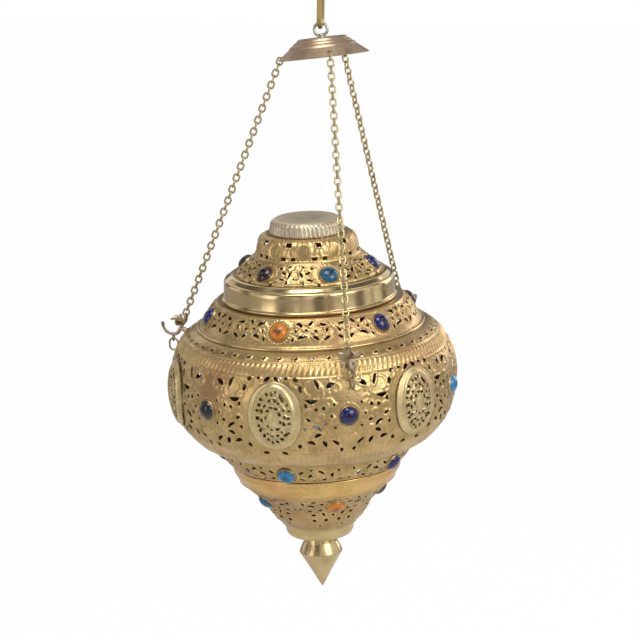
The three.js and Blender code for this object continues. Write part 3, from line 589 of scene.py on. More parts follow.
upright = ([1, 0, 0], [0, 0, 1], [0, -1, 0])
eye = oval_ring(eye_wire, 2 * eye_centre_radius, 2 * eye_centre_radius, 40, 14)
coil_radius, coil_pitch = 2.6, 1.1
coil_turn = np.linspace(0, 4 * np.pi, 49)
coil = np.stack([coil_radius * np.cos(coil_turn), coil_radius * np.sin(coil_turn),
                 -crown_drop + 1.2 + coil_pitch * coil_turn / (2 * np.pi)], -1)
tail = tube([[0, 0, -crown_drop + 3], [0, 0, -crown_drop - 6.6]], 3.0, 14, [1, 0, 0])
points, quads = combined([set_at(eye, (0, 0, -eye_drop), upright),
                          tube(coil, 0.9, 8, [0, 0, 1]), tail])
piece("canopy_wire_eye", (in_canopy(points), quads), steel_wire, "lamp", ["canopy_eye"])


def repaint(node, finish):
    """Gives a CAD node that shows as it is one of the finishes made here."""
    shown = frame["nodes"][node].data
    shown.materials.clear()
    shown.materials.append(finish)


repaint("canopy_nut", worn_brass)

# Chains
# Three jack chains of pale drawn brass wire. Each link stands square to the next, and the
# chain's whole twist is shared out among them, as in part.mjs.

chain_wire = 1.5
chain_link_width = 7.2
chain_pitch = 6.1
chain_bearing = 1.36
eye_gap = 0.45
hook_azimuths = {"front": 15.0, "right": 135.0, "left": -105.0}
hook_eye_rise = 19.0
hook_stand_off = 2.2
hook_eye_bar = 2.2
rim_inset = 1.1
drawn_thicker = 1.3

belly_widest = (142.0, -57.0)
belly_upper = bowed((112, 0), (140, -57 * 0.15), belly_widest, 60)
belly_lower = bowed(belly_widest, (142, -57 - 0.64 * 59), (112.5, -116), 60)
foot_corners = bowed((112, 0), (140, -57 * 0.15), belly_widest, 5)[1:3]
foot_height = foot_corners[:, 1].mean()
foot_radius = foot_corners[:, 0].mean() * math.cos(math.radians(7.5))


def unit(vector):
    """The vector at length 1."""
    return vector / np.linalg.norm(vector)


def square_to(vector, axis):
    """The part of a vector that is square to an axis, at length 1."""
    return unit(vector - vector @ axis * axis)


def chain(top, foot, across_top, across_foot):
    """Oval links along the line from top to foot, each a quarter turn from the last."""
    way = unit(foot - top)
    span = np.linalg.norm(foot - top)
    top_reach = math.hypot(2 * rim_inset, sheet_wall) / 2 + eye_gap + chain_wire / 2
    foot_reach = hook_eye_bar / 2 + eye_gap + chain_wire / 2
    count = 2 * round((span / chain_pitch - 1) / 2) + 1
    pitch = (span + top_reach + foot_reach - chain_bearing) / count
    length = pitch + chain_bearing
    first = square_to(across_top, way)
    second = np.cross(way, first)
    last = square_to(across_foot, way)
    twist = math.atan2(last @ second, last @ first)
    k = np.arange(count)[:, None]
    turn = k * np.pi / 2 + twist * k / (count - 1)
    x = np.cos(turn) * first + np.sin(turn) * second
    y = np.broadcast_to(-way, x.shape)
    axes = np.stack([x, y, np.cross(x, y)], 1)
    centres = top + way * (length / 2 - top_reach + k * pitch)
    link = oval_ring(chain_wire * drawn_thicker, chain_link_width - chain_wire, length, 16, 6)
    return copies(link, centres, axes)


chain_brass = brass("chain_brass", (206, 192, 144), (152, 140, 94),
                    (194, 168, 132), roughness=0.34, patches=0.6, grain=1500.0)
canopy_tilt = math.atan(canopy_slope)
for side, azimuth in hook_azimuths.items():
    rim_at = around_axis(
        canopy_radius - rim_inset - sheet_wall / 2 * math.sin(canopy_tilt), canopy_holes[side],
        -rim_drop + rim_inset * canopy_slope - sheet_wall / 2 * math.cos(canopy_tilt))
    top = in_canopy(rim_at) * 1000
    foot = in_lamp(around_axis(foot_radius + hook_stand_off, azimuth,
                               foot_height + hook_eye_rise)) * 1000
    across_top = around_axis(1, canopy_holes[side], 0) @ canopy_axes
    across_foot = around_axis(1, azimuth, 0) @ lamp_axes
    points, quads = chain(top, foot, across_top, across_foot)
    piece(f"chain_{side}_links", (points / 1000, quads), chain_brass, "lamp",
          [f"chain_{side}"])

# Lid: crown cap
# A shallow brass cap, spun, with a band of upright flutes under its rounded edge. Its colour is
# painted paler than the brass, and paler still on top, as a painted reflection of the light from above. It is
# pressed onto the top of the dome.

cap_foot = 93.1
cap_edge = 101.8
cap_radius = 35.2
cap_flare = 1.5
cap_top = 107.0
cap_top_radius = 31.5
flutes = 48
cap_columns = flutes * 8


def closed_turning(profile, columns, ripple=None):
    """A profile turned round the lamp's axis. It starts and ends on the axis, or else is a
    closed loop. ripple adds to the radius, from the profile's place and the azimuth."""
    profile = np.array(profile, float)
    azimuth = np.arange(columns) * 360 / columns
    loop = profile[0, 0] > 0
    radius = profile[:, :1] + 0 * azimuth
    if ripple is not None:
        radius = radius + ripple(profile[:, :1], profile[:, 1:2], azimuth[None, :])
    points = in_lamp(around_axis(radius, azimuth[None, :], profile[:, 1:2]))
    if not loop:
        points[0], points[-1] = points[0].mean(0), points[-1].mean(0)
    return surface(points, loop, True)


def turned(name, profile, columns, finish, node, slot="polished_brass", body="lamp"):
    """A piece turned round the lamp's axis."""
    piece(name, closed_turning(profile, columns), finish, body, [node])


def rounded(points, radius, steps=5, closed=True):
    """A line with each corner replaced by a small curve that starts a radius before it."""
    points = np.array(points, float)
    before, after = np.roll(points, 1, axis=0) - points, np.roll(points, -1, axis=0) - points
    reach = [np.minimum(radius / np.linalg.norm(way, axis=1), 0.45)[:, None] * way
             for way in (before, after)]
    t = np.linspace(0, 1, steps)[:, None, None]
    curves = points + (1 - t) ** 2 * reach[0] + t**2 * reach[1]
    curves = curves.transpose(1, 0, 2)
    if closed:
        return curves.reshape(-1, 2)
    return np.concatenate([points[:1], curves[1:-1].reshape(-1, 2), points[-1:]])


polished_brass = brass("polished_brass", (208, 184, 136), (172, 150, 98),
                       (196, 152, 118), roughness=0.14, patches=0.4, grain=900.0,
                       bump=0.00002)
# The cap's pale colours are partly a painted reflection of the light from above.
cap_brass = brass("cap_brass", (240, 226, 198), (202, 184, 140), (230, 208, 190),
                  roughness=0.42, patches=0.8, deepening=0.62)
cap_line = np.concatenate([
    [[0, cap_top - 1.4], [12, cap_top - 1.3]],
    bowed((22, cap_top - 0.9), (28, cap_top), (cap_top_radius - 0.5, cap_top - 0.1), 6),
    bowed((cap_top_radius, cap_top - 0.4), (cap_radius - 0.6, cap_edge + 3.4),
          (cap_radius, cap_edge), 10),
    np.linspace((cap_radius + 0.05, cap_edge - 0.5), (cap_radius + cap_flare, cap_foot), 14),
    [[cap_radius + cap_flare - 1.5, cap_foot], [cap_radius - 1.4, cap_edge - 0.6],
     [cap_top_radius - 1.6, cap_top - 2.4], [0, cap_top - 2.8]]])


def flute_ripple(radius, height, azimuth):
    """Round flutes from the foot up over the rounded edge, which fade at both ends."""
    outside = np.clip((radius - cap_top_radius + 0.2) * 3, 0, 1)
    fade = np.clip((height - cap_foot) * 0.8, 0, 1) * np.clip((cap_top - height) / 4, 0, 1)
    sway = 0.5 * np.sin(np.radians(azimuth) * 7) + 0.06 * height
    return outside * fade * 0.95 * np.abs(np.sin(np.radians(azimuth) * flutes / 2 + sway))


# Painted reflection: the top of the cap is painted paler than its flutes, for the light that falls on it from
# above.
cap_top_painted_reflection = np.clip((cap_line[:, 1] - cap_edge - 2.0) / 5, 0.25, 1)
piece("crown_cap_fluted", closed_turning(cap_line, cap_columns, flute_ripple), cap_brass,
      "lid", ["crown_cap"], np.repeat(cap_top_painted_reflection, cap_columns))

# Lid: pierced dome
# One spun shell. Its rounded top is raised in petals between two rows of small square
# holes, and the cone below is chased in scrolls and pierced round six glass cabochons.

dome_line = outline([[33, 92.8]], bowed((38, 92.8), (50, 92.8), (50, 74.3), 24),
                    np.linspace((50, 74.3), (72, 53.1), 24)[1:])
pierced_brass = brass("pierced_brass", (208, 178, 124), (154, 130, 72),
                      (190, 142, 106), roughness=0.32, patches=0.55, deepening=0.72,
                      grain=420.0, bump=0.00012)


def leaf_hole(x, y, hole):
    """How far a point lies outside a bent leaf: its distance from the leaf's bowed middle
    line, less half the leaf's width there, which falls to nothing at both ends."""
    at_x, at_y, turn, length, width, bend = hole
    a = math.radians(turn)
    dx, dy = x - at_x, y - at_y
    along = (dx * math.cos(a) + dy * math.sin(a)) * 2 / length
    aside = dy * math.cos(a) - dx * math.sin(a) - bend * (1 - along**2)
    half = width / 2 * (1 - np.abs(along) ** 2.2)
    past = np.maximum(np.abs(along) - 1, 0) * length / 2
    return np.hypot(np.abs(aside), past) - np.where(past > 0, 0, half)


def leaf_holes(x, y, holes):
    """The least distance to any of the leaves."""
    edge = np.full(np.broadcast(x, y).shape, 9.0)
    for hole in holes:
        edge = np.minimum(edge, leaf_hole(x, y, hole))
    return edge


def bell(distance, width):
    """A bell curve: 1 at no distance, and about a third at the width."""
    return np.exp(-((distance / width) ** 2))


def scrolls(x, y, curls):
    """Raised lines: each is a spiral from one radius and angle to another, 1 on its crest
    and falling away as a bell curve of the distance from it."""
    raised = np.zeros(np.broadcast(x, y).shape)
    for at_x, at_y, start, end, from_angle, to_angle, width in curls:
        t = np.linspace(0, 1, 26)
        a = np.radians(from_angle + t * (to_angle - from_angle))
        reach = start + t * (end - start)
        line_x, line_y = at_x + reach * np.cos(a), at_y + reach * np.sin(a)
        near = np.abs(x - at_x) < max(start, end) + 3 * width
        gap = np.full(raised.shape, 99.0)
        px, py = x[near][:, None] - line_x, y[near][:, None] - line_y
        gap[near] = np.sqrt((px**2 + py**2).min(1))
        raised = np.maximum(raised, bell(gap, width))
    return raised


def chased_ground(x, y):
    """The punched ground between scrolls: two waves that bend each other, from 0 to 0.3."""
    return 0.3 * np.abs(np.sin(1.25 * x + 1.8 * np.sin(0.7 * y))
                        * np.sin(1.15 * y + 1.8 * np.sin(0.6 * x)))


def folded(azimuth, centre, count):
    """Azimuth from the nearest of a ring of centres, as (its size, its sign)."""
    period = 360 / count
    off = (azimuth - centre + period / 2) % period - period / 2
    return np.abs(off), np.sign(off)


def jewel_places(shell, azimuth, down):
    """Distances on a shell: across and up from the nearest jewel, and the radius there. A
    shell is its outline, its ring of jewels (count, first, height) and their arc length."""
    line, (count, first, _), jewel_down = shell
    radius, *_ = along_line(line, down)
    off, _ = folded(azimuth, first, count)
    return np.radians(off) * radius, jewel_down - down, radius


def raised_shell(line, azimuth, down, lift):
    """A shell's points, each moved out square to its wall by the height of the relief."""
    radius, height, out, rise = along_line(line, down)
    return in_lamp(around_axis(radius + lift * out, azimuth, height + lift * rise))


def hole_lip(edge, height, past=0.8, width=0.7):
    """A low ridge that runs round every hole, a little past its edge."""
    return height * bell(edge - past, width)


# Painted light: this tone paints highlights on raised work and shade at the edges of holes, along with real wear.
def worn_and_painted_tone(relief, edge, ground, gain, reach=1.2):
    """How bright the finish is: brighter on high relief, as rubbed wear and a painted highlight, and dark close to
    a hole, as painted shade.
    """
    return np.clip(ground + gain * relief, 0, 1) * (0.35 + 0.65 * np.clip(edge / reach, 0, 1))


dome_jewels = (6, 18.0, 61.4)
dome_cone_start = dome_line[0][24]
dome_cone_length = dome_line[0][-1] - dome_cone_start
dome_shell = (dome_line, dome_jewels, dome_cone_start + 0.608 * dome_cone_length)
dome_lobes = 10
dome_lobe_gap = 13.3
petal_row, petal_half_width, petal_half_height = 22.5, 7.0, 8.2
petal_strokes = 30
dome_motif = [
    (27, 2, 80, 7, 2.8, 0.3), (20.5, -5, 20, 7, 2.6, 0.8), (20, 4, -28, 6.5, 2.4, -0.6),
    (14.5, 9, 10, 4, 2.6, 0), (13, -10.5, -20, 4.5, 2.4, 0), (27.5, -8, 75, 4.5, 2.2, 0),
    (22.5, 11, 35, 3.6, 2.2, 0), (32, 9, 0, 2.6, 2.6, 0), (32.5, -3, 0, 2.4, 2.4, 0),
]
dome_curls = [(22, 0, 9, 4, -120, 170, 1.0), (14, -9, 5, 2, 60, 330, 0.8),
              (28, 9, 5, 2, -170, 60, 0.8), (0, 0, 12.2, 12.2, 0, 360, 0.7)]


def dome_openings(azimuth, down):
    """Scroll leaves on the cone, and two rows of square holes over it."""
    x, y, radius = jewel_places(dome_shell, azimuth, down)
    edge = leaf_holes(x, y, dome_motif)
    for centre, row, width, tall in ((0, 15.2, 5.2, 4.4), (-5.9, 29.4, 4.8, 3.8),
                                     (5.9, 29.4, 4.2, 3.6)):
        off, _ = folded(azimuth, dome_lobe_gap + centre, dome_lobes)
        square = np.maximum(np.radians(off) * radius - width / 2,
                            np.abs(down - row) - tall / 2)
        edge = np.minimum(edge, square)
    return edge


def dome_shape(azimuth, down):
    """The shell with petals on its round top, scrolls on its cone and a lip round holes."""
    x, y, radius = jewel_places(dome_shell, azimuth, down)
    edge = dome_openings(azimuth, down)
    on_top = np.clip((dome_cone_start - down) / 3, 0, 1)
    off, way = folded(azimuth, dome_lobe_gap + 180 / dome_lobes, dome_lobes)
    lobe = np.hypot(np.radians(off) * radius / petal_half_width,
                    (down - petal_row) / petal_half_height)
    strokes = np.abs(np.sin(np.radians(azimuth) * petal_strokes + 0.8 * way * np.cos(down / 5)))
    petals = on_top * np.clip((down - 5) / 3, 0, 1) * (
        bell(lobe - 1, 0.14) + 0.5 * strokes**0.7 * (0.35 + 0.65 * (lobe > 1)))
    curls = (1 - on_top) * scrolls(x, y, dome_curls)
    border = bell(down - dome_cone_start - 1.5, 0.9) + bell(down - dome_line[0][-1] + 2.2, 1.0)
    lip = hole_lip(edge, 0.75)
    ground = (1 - on_top) * chased_ground(x, y)
    relief = np.clip(0.85 * petals + curls + border + lip + ground, 0, 1.3)
    points = raised_shell(dome_line, azimuth, down, 0.9 * relief)
    return points, worn_and_painted_tone(relief, edge, 0.3, 0.6)


def pierced_turn(name, line, cell, count, openings, shape, body, node):
    """A piece that is a full turn of pierced sheet, with rows of one height down its outline
    and a count of columns."""
    azimuth, down = np.meshgrid(np.arange(count) * 360 / count,
                                np.linspace(0, line[0][-1], int(line[0][-1] / cell)))
    scale = np.radians(along_line(line, down)[0])
    part, relief = pierced(azimuth, down, scale, openings, shape, sheet_wall / 1000, wrap=True)
    piece(name, part, pierced_brass, body, [node], relief, sharp=50)


pierced_turn("lid_dome_pierced", dome_line, 0.9, 440, dome_openings, dome_shape, "lid",
             "lid_dome")

# Lid: plain collar
# A polished band that drops over the shoulder's upstand, with a flat ledge under the dome
# and a bright bead at its top and at its foot.

collar_profile = rounded([
    [64.0, 52.8], [73.3, 52.8], [75.0, 53.6], [77.5, 52.6], [81.2, 49.4], [83.2, 48.6],
    [84.3, 46.8], [84.6, 44.2], [85.2, 31.0], [87.2, 30.2], [87.2, 28.4], [86.4, 27.3],
    [84.6, 27.3], [83.3, 43.6], [80.6, 48.0], [73.0, 51.6], [64.0, 51.6]], 1.0)
turned("lid_collar_spun", collar_profile, 288, polished_brass, "lid_collar", body="lid")

# Shoulder
# A sloping pierced shell below the lid, with a plain upstand inside the lid's collar, vine
# scrolls in high relief and six cabochons. A bright bead covers its joint with the belly.

shoulder_top = 27
upstand_radius, upstand_height, upstand_shelf = 82.8, 10, 9.2
shoulder_slope = bowed((upstand_radius + upstand_shelf, shoulder_top),
                       (102, 0.62 * shoulder_top), (110.5, 0.3), 30)
shoulder_line = outline([[upstand_radius, shoulder_top + upstand_height],
                         [upstand_radius, shoulder_top]], shoulder_slope)
shoulder_start = upstand_height + upstand_shelf
shoulder_jewels = (6, -18.0, 15.66)


def down_to(line, height, skip=2):
    """Arc length down an outline to a height on its wall, past the points of its flange."""
    lengths, points = line
    return float(np.interp(-height, -points[skip:, 1], lengths[skip:]))


shoulder_shell = (shoulder_line, shoulder_jewels,
                  down_to(shoulder_line, shoulder_jewels[2], 3))
shoulder_motif = [
    (19, 7, -30, 8.5, 3.2, 1.0), (30, 8.5, 60, 6.5, 2.8, 0.5), (42, 8, -15, 8, 2.8, -0.9),
    (24, -6, 15, 10, 3.2, 1.5), (37, -6.5, -35, 8, 2.6, 0.6), (48, -7, 30, 7.5, 2.8, 0.5),
    (14.5, -7.5, 80, 5, 2.2, 0), (36, 1, 0, 3, 2.8, 0), (47, 1.5, 85, 5.5, 2.2, 0.3),
    (16.5, 0.5, 80, 3.4, 2.2, 0), (26.5, 1.8, 0, 2.8, 2.4, 0), (52.5, 9, 80, 4, 2.4, 0),
]
shoulder_curls = [
    (24, 0.5, 9, 4.5, 150, -150, 1.1), (36, 2, 8.5, 3.5, -30, 250, 1.1),
    (47.5, 0.5, 8.5, 4, 190, -90, 1.1), (15, 3, 6, 3, -60, 160, 0.8),
    (0, 0, 12, 12, 0, 360, 0.7),
]


def shoulder_openings(azimuth, down):
    """The leaves between the vines."""
    x, y, _ = jewel_places(shoulder_shell, azimuth, down)
    return leaf_holes(x, y, shoulder_motif)


def shoulder_shape(azimuth, down):
    """The shell with its vines raised, and borders at the top and foot of its slope."""
    x, y, _ = jewel_places(shoulder_shell, azimuth, down)
    edge = shoulder_openings(azimuth, down)
    on_slope = np.clip((down - shoulder_start) / 2, 0, 1)
    border = (bell(down - shoulder_line[0][-1] + 1.6, 1.1)
              + 0.6 * bell(down - shoulder_start - 1.5, 0.8))
    lip = hole_lip(edge, 0.8)
    raised = scrolls(x, y, shoulder_curls) + chased_ground(x, y) + border + lip
    relief = on_slope * np.clip(raised, 0, 1.3)
    points = raised_shell(shoulder_line, azimuth, down, relief)
    return points, worn_and_painted_tone(relief, edge, 0.32, 0.58)


pierced_turn("shoulder_pierced", shoulder_line, 0.9, 690, shoulder_openings, shoulder_shape,
             "lamp", "shoulder")
bead = np.radians(np.arange(16) * 360 / 16)
bead_radius, bead_wire_radius = 112.0, 1.5
bead_profile = np.stack([bead_radius + bead_wire_radius * np.sin(bead),
                         0.9 + bead_wire_radius * np.cos(bead)], -1)
piece("shoulder_bead", closed_turning(bead_profile, 240), polished_brass, "lamp")

# Belly
# The largest shell, in sheet brass. From the top down it has a plain band with slanted
# holes, a gadrooned band, a field of pierced scrolls round six cabochons, and a hatched band.

belly_line = outline([[98, 0], [110.5, 0]], belly_upper[1:], belly_lower[1:], [[91, -116]])
belly_jewels = (6, 13.0, -58.0)
belly_jewel_down = down_to(belly_line, belly_jewels[2])
belly_shell = (belly_line, belly_jewels, belly_jewel_down)
hole_row = down_to(belly_line, -5.0)
hole_step = 360 / 48
belly_strokes = 75
gadroon_top, gadroon_foot, hatch_top, hatch_foot = (
    down_to(belly_line, height) for height in (-8.6, -20.0, -96.5, -110.5))
belly_motif = [
    (15.5, 30, -30, 9, 3.8, 0.9), (29, 32, 74, 10, 2.7, 0.7), (44.5, 28, 86, 6.5, 2.9, 0),
    (35, 17.5, 4, 11, 3.2, -1.8), (23.5, 9, 0, 3.2, 2.8, 0), (31, 8, 20, 3.2, 2.6, 0),
    (40.5, 12, 80, 4.2, 2.2, 0), (39, -2, 30, 5, 2.2, 0.4), (22, -6, 25, 3.6, 2.5, 0),
    (42, -11, 0, 3, 3, 0), (31, -10.5, 35, 10, 2.3, 1.2), (29.5, -18.5, -25, 7, 3, 0.8),
    (12.5, -27.5, 42, 8.5, 2.6, 0.9), (23, -28, 62, 7.5, 3, 0.6),
    (36, -27, 20, 9, 2.6, 1.6), (46.5, -30, 0, 4, 4, 0), (6, -36.5, 80, 4.6, 2.6, 0),
    (60, -39, 30, 6.5, 3.6, 0.5), (66, 37, 35, 6.5, 3.4, 0.4), (48, 37, 0, 4.5, 3.4, 0),
    (57, 38, -20, 3.6, 2.2, 0), (13.5, 12, 0, 2.4, 2.2, 0), (16.5, 1, 0, 2.2, 2.2, 0),
    (13, -11, 0, 2.4, 2.2, 0),
]
leaf_longer, leaf_wider = 1.12, 1.22
belly_motif = [(x, y, lean, length * leaf_longer, width * leaf_wider, bow)
               for x, y, lean, length, width, bow in belly_motif]
belly_curls = [
    (34, 26, 12, 5, 215, -60, 1.1), (11, 27, 7.5, 2.5, -30, 300, 0.9),
    (22, 36, 7, 3, 200, 20, 0.8), (33, -22, 12.5, 5, 170, -100, 1.1),
    (17, -29, 8, 4, 60, 330, 1.0), (47, 33, 7, 3, 120, -100, 0.9),
    (46, -34, 7, 3, 240, 20, 0.9), (38, 4, 8, 4, -80, 130, 0.8), (0, 0, 12, 12, 0, 360, 0.6),
    (60, 40, 6, 2.5, -20, 220, 0.8), (62, -42, 7, 3, 160, -60, 0.8),
    (18, 14, 5, 2, 30, 330, 0.7), (28, 0, 5, 2, 180, -90, 0.7), (22, -15, 5, 2, -40, 250, 0.7),
    (38, -9, 4.5, 2, 90, 380, 0.7), (7, -23, 5.5, 2, 200, -60, 0.7),
    (40, 20, 4.5, 1.5, 0, 280, 0.7), (14, -4, 4, 1.5, 100, -160, 0.6),
    (52, 42, 5, 2, 40, 300, 0.7), (24, -39, 5, 2, 10, 280, 0.7), (5, 38, 5, 2, 100, -160, 0.7),
]


def belly_openings(azimuth, down):
    """The scroll leaves, and a row of slanted holes in the plain band."""
    x, y, radius = jewel_places(belly_shell, azimuth, down)
    edge = leaf_holes(x, y, belly_motif)
    off = (azimuth + hole_step / 2) % hole_step - hole_step / 2
    row = leaf_hole(np.radians(off) * radius, hole_row - down, (0, 0, 28, 4.6, 2.2, 0))
    return np.minimum(edge, row)


def belly_shape(azimuth, down):
    """The shell with its raised ornament. The gadroons are ridges that lean over as they
    rise, and the hatch is a row of fine upright strokes."""
    x, y, _ = jewel_places(belly_shell, azimuth, down)
    edge = belly_openings(azimuth, down)
    share = (down - gadroon_top) / (gadroon_foot - gadroon_top)
    band = np.clip(share * 7, 0, 1) * np.clip((1 - share) * 7, 0, 1)
    lean = 1.1 * np.sin((share - 0.5) * 3.0)
    stroke = np.abs(np.sin(np.radians(azimuth) * belly_strokes + lean))
    gadroons = band * stroke**0.7 * np.sin(np.clip(share, 0, 1) * np.pi) ** 0.4
    share = (down - hatch_top) / (hatch_foot - hatch_top)
    band = np.clip(share * 9, 0, 1) * np.clip((1 - share) * 9, 0, 1)
    hatch = band * np.abs(np.sin(np.radians(azimuth) * belly_strokes)) ** 0.8
    field = np.clip((down - gadroon_foot) / 2, 0, 1) * np.clip((hatch_top - down) / 2, 0, 1)
    curls = field * scrolls(x, y, belly_curls)
    matting = field * chased_ground(x, y)
    borders = sum(bell(down - at, 0.9)
                  for at in (gadroon_top - 1, gadroon_foot + 1, hatch_top - 1, hatch_foot + 1))
    lip = hole_lip(edge, 0.85, 0.9, 0.8)
    relief = np.clip(gadroons + 0.7 * hatch + curls + 0.8 * borders + lip + matting, 0, 1.3)
    points = raised_shell(belly_line, azimuth, down, (0.95 + 0.4 * gadroons) * relief)
    return points, worn_and_painted_tone(relief, edge, 0.36, 0.55, 1.3)


belly_length = belly_line[0][-1]
down_rows = np.concatenate([np.linspace(0, 12, 6), np.linspace(13, belly_length - 21, 136),
                            np.linspace(belly_length - 19, belly_length, 6)])
belly_seam = -16.0
for k in range(3):
    start = belly_seam + 120 * k
    azimuth, down = np.meshgrid(np.linspace(start, start + 120, 296), down_rows)
    scale = np.radians(along_line(belly_line, down)[0])
    part, relief = pierced(azimuth, down, scale, belly_openings, belly_shape,
                           sheet_wall / 1000)
    piece(f"belly_panel_{k + 1}", part, pierced_brass, "lamp", ["belly"],
          relief, sharp=50)

# Medallions
# Six oval plates stamped in thin brass and soldered over the belly's widest part: a flat
# matted border, a raised ring brightened as rubbed wear and a painted highlight, and a pierced panel of leaves
# inside it. A painted shadow darkens the plate's rim.

medallion_half = (27.0, 34.5)
medallion_field = (27.0, 40.7)
medallion_first = -16.0
medallion_wall = 0.9
medallion_margin = 0.4
medallion_mean_half = 29.0
medallion_brass = brass("medallion_brass", (216, 194, 146), (172, 152, 96),
                        (200, 160, 124), roughness=0.38, patches=0.6, deepening=0.7,
                        grain=380.0, bump=0.00016)
medallion_sway = np.random.default_rng(7)


def oval_of_holes(count, first, share, turn, length, width):
    """Leaves on an oval round the middle, each a little out of place, as by hand."""
    a = first + np.arange(count) * 360 / count + medallion_sway.uniform(-4, 4, count)
    reach = share + medallion_sway.uniform(-0.03, 0.03, count)
    return [(medallion_field[0] * r * math.cos(math.radians(at)),
             medallion_field[1] * r * math.sin(math.radians(at)),
             at + turn + lean, length * size, width * size, 0.3)
            for at, r, lean, size in zip(a, reach, medallion_sway.uniform(-30, 30, count),
                                         medallion_sway.uniform(0.75, 1.2, count))]


medallion_motif = (oval_of_holes(9, 20, 0.27, 80, 4.2, 2.5)
                   + oval_of_holes(14, 5, 0.43, 100, 4.0, 2.6)
                   + oval_of_holes(22, 0, 0.58, 30, 4.2, 2.8))
medallion_curls = [(9.5 * math.cos(a), 12.5 * math.sin(a), 4.6, 1.6, math.degrees(a) - 60,
                    math.degrees(a) + 230, 0.75) for a in np.radians(np.arange(7) * 51.4)]


def medallion_openings(x, y):
    """Small leaves in rings round the middle, and everything past the oval's edge."""
    share = np.hypot(x / medallion_half[0], y / medallion_half[1])
    beyond = (1 - share) * medallion_mean_half
    return np.minimum(leaf_holes(x, -y, medallion_motif), beyond)


def medallion_rise_at(field, share):
    """How far the plate stands off the belly: a bowed field, a bead round it, a thin rim."""
    inside = np.interp(field, [0, 0.3, 0.63, 0.66, 0.695, 0.73, 0.77, 0.97, 1.02],
                       [4.2, 3.9, 3.0, 3.9, 4.4, 3.9, 2.5, 1.5, 0.5])
    return np.minimum(inside, np.interp(share, [0.9, 1.0, 1.02], [4.4, 1.2, 0.5]))


def medallion_at(centre):
    """The shape of the medallion at one azimuth, laid on the belly's outline."""
    def shape(x, y):
        """The plate with leaves and a boss inside its bead, and a matted border outside."""
        share = np.hypot(x / medallion_half[0], y / medallion_half[1])
        field = np.hypot(x / medallion_field[0], y / medallion_field[1])
        radius, height, out, rise = along_line(belly_line, belly_jewel_down - 1 + y)
        inner = np.clip((0.64 - field) / 0.04, 0, 1)
        leaves = inner * scrolls(x, -y, medallion_curls)
        boss = bell(np.hypot(x / 3.2, y / 6.5), 1)
        edge = medallion_openings(x, y)
        lip = inner * hole_lip(edge, 0.8, 0.6, 0.5)
        matting = np.clip((field - 0.77) / 0.03, 0, 1) * 0.2 * np.abs(
            np.sin(x * 1.9) * np.sin(y * 1.9))
        # crest marks the raised ring, which the tone paints bright as rubbed wear and a painted highlight.
        crest = bell(field - 0.695, 0.035)
        # Painted shadow: a dark line along the plate's outer rim, where it stands off the belly.
        painted_edge_shadow = bell(share - 0.985, 0.02)
        relief = np.clip(leaves + boss + lip + 1.3 * inner * chased_ground(x, y), 0, 1.1)
        lift = medallion_rise_at(field, share) + 1.1 * relief + matting
        turned = centre + np.degrees(x / radius)
        points = in_lamp(around_axis(radius + lift * out, turned, height + lift * rise))
        # Tone: brighter on raised work and the ring as rubbed wear and painted highlight, darker inside the ring,
        # darker near holes as painted shade, and a painted shadow at the rim.
        tone = (0.42 - 0.14 * inner + 0.65 * relief + crest + 0.2 * (field > 0.76)
                - 0.6 * painted_edge_shadow)
        return points, np.clip(tone, 0, 1) * (0.3 + 0.7 * np.clip(edge / 0.9, 0, 1))
    return shape


across, down = np.meshgrid(*(
    np.linspace(-half - medallion_margin, half + medallion_margin, count)
    for half, count in zip(medallion_half, (72, 92))))
for k in range(6):
    part, relief = pierced(across, down, 1.0, medallion_openings,
                           medallion_at(medallion_first + 60 * k), medallion_wall / 1000)
    piece(f"medallion_plate_{k + 1}", part, medallion_brass, "lamp", [f"medallion_{k + 1}"],
          relief, sharp=50)

# Hooks and drop rings
# Three cast brass hooks, riveted to the belly: an eye for the chain, two leaves, a stem
# that curls out to a tip, and a lug under its bend, in which a small ring swings.

cast_brass = brass("cast_brass", (186, 168, 140), (138, 130, 108), (172, 144, 158),
                   roughness=0.42, patches=0.9, grain=600.0, bump=0.0002)
hook_low = (belly_widest[0] - foot_radius + 2.4, -2.5)
hook_tip = (hook_low[0] + 10.4, 10.0)
lug_radius, lug_bar = 2.9, 1.6
ring_wire, ring_gap = 2.0, 0.3
ring_centre_width, ring_centre_length = 9.0, 12.0
lug_drop = lug_radius + lug_bar - 0.8
ring_bar_drop = lug_drop + lug_radius - lug_bar / 2 - ring_gap - ring_wire / 2
hook_eye_radius = 3.6


def leaf_blade(root, tip, width, cup, normal, bow):
    """A pointed leaf: its width swells and closes again along its length, its edges cup up
    and its midrib bows. Its two sides close at the edges."""
    root, tip, normal = (np.array(v, float) for v in (root, tip, normal))
    way = tip - root
    aside = unit(np.cross(normal, way))
    u = np.linspace(0, 1, 13)[:, None, None]
    v = np.linspace(-1, 1, 7)[None, :, None]
    half = width * np.sin(np.pi * np.clip(u * 0.94 + 0.05, 0, 1)) ** 0.8
    lift = bow * np.sin(np.pi * u) + cup * v**2 * half / width
    rib = 0.45 * bell(v, 0.25)
    face = root + u * way + v * half * aside + (lift + rib) * normal
    return thickened(*surface(face), 1.1)[:2]


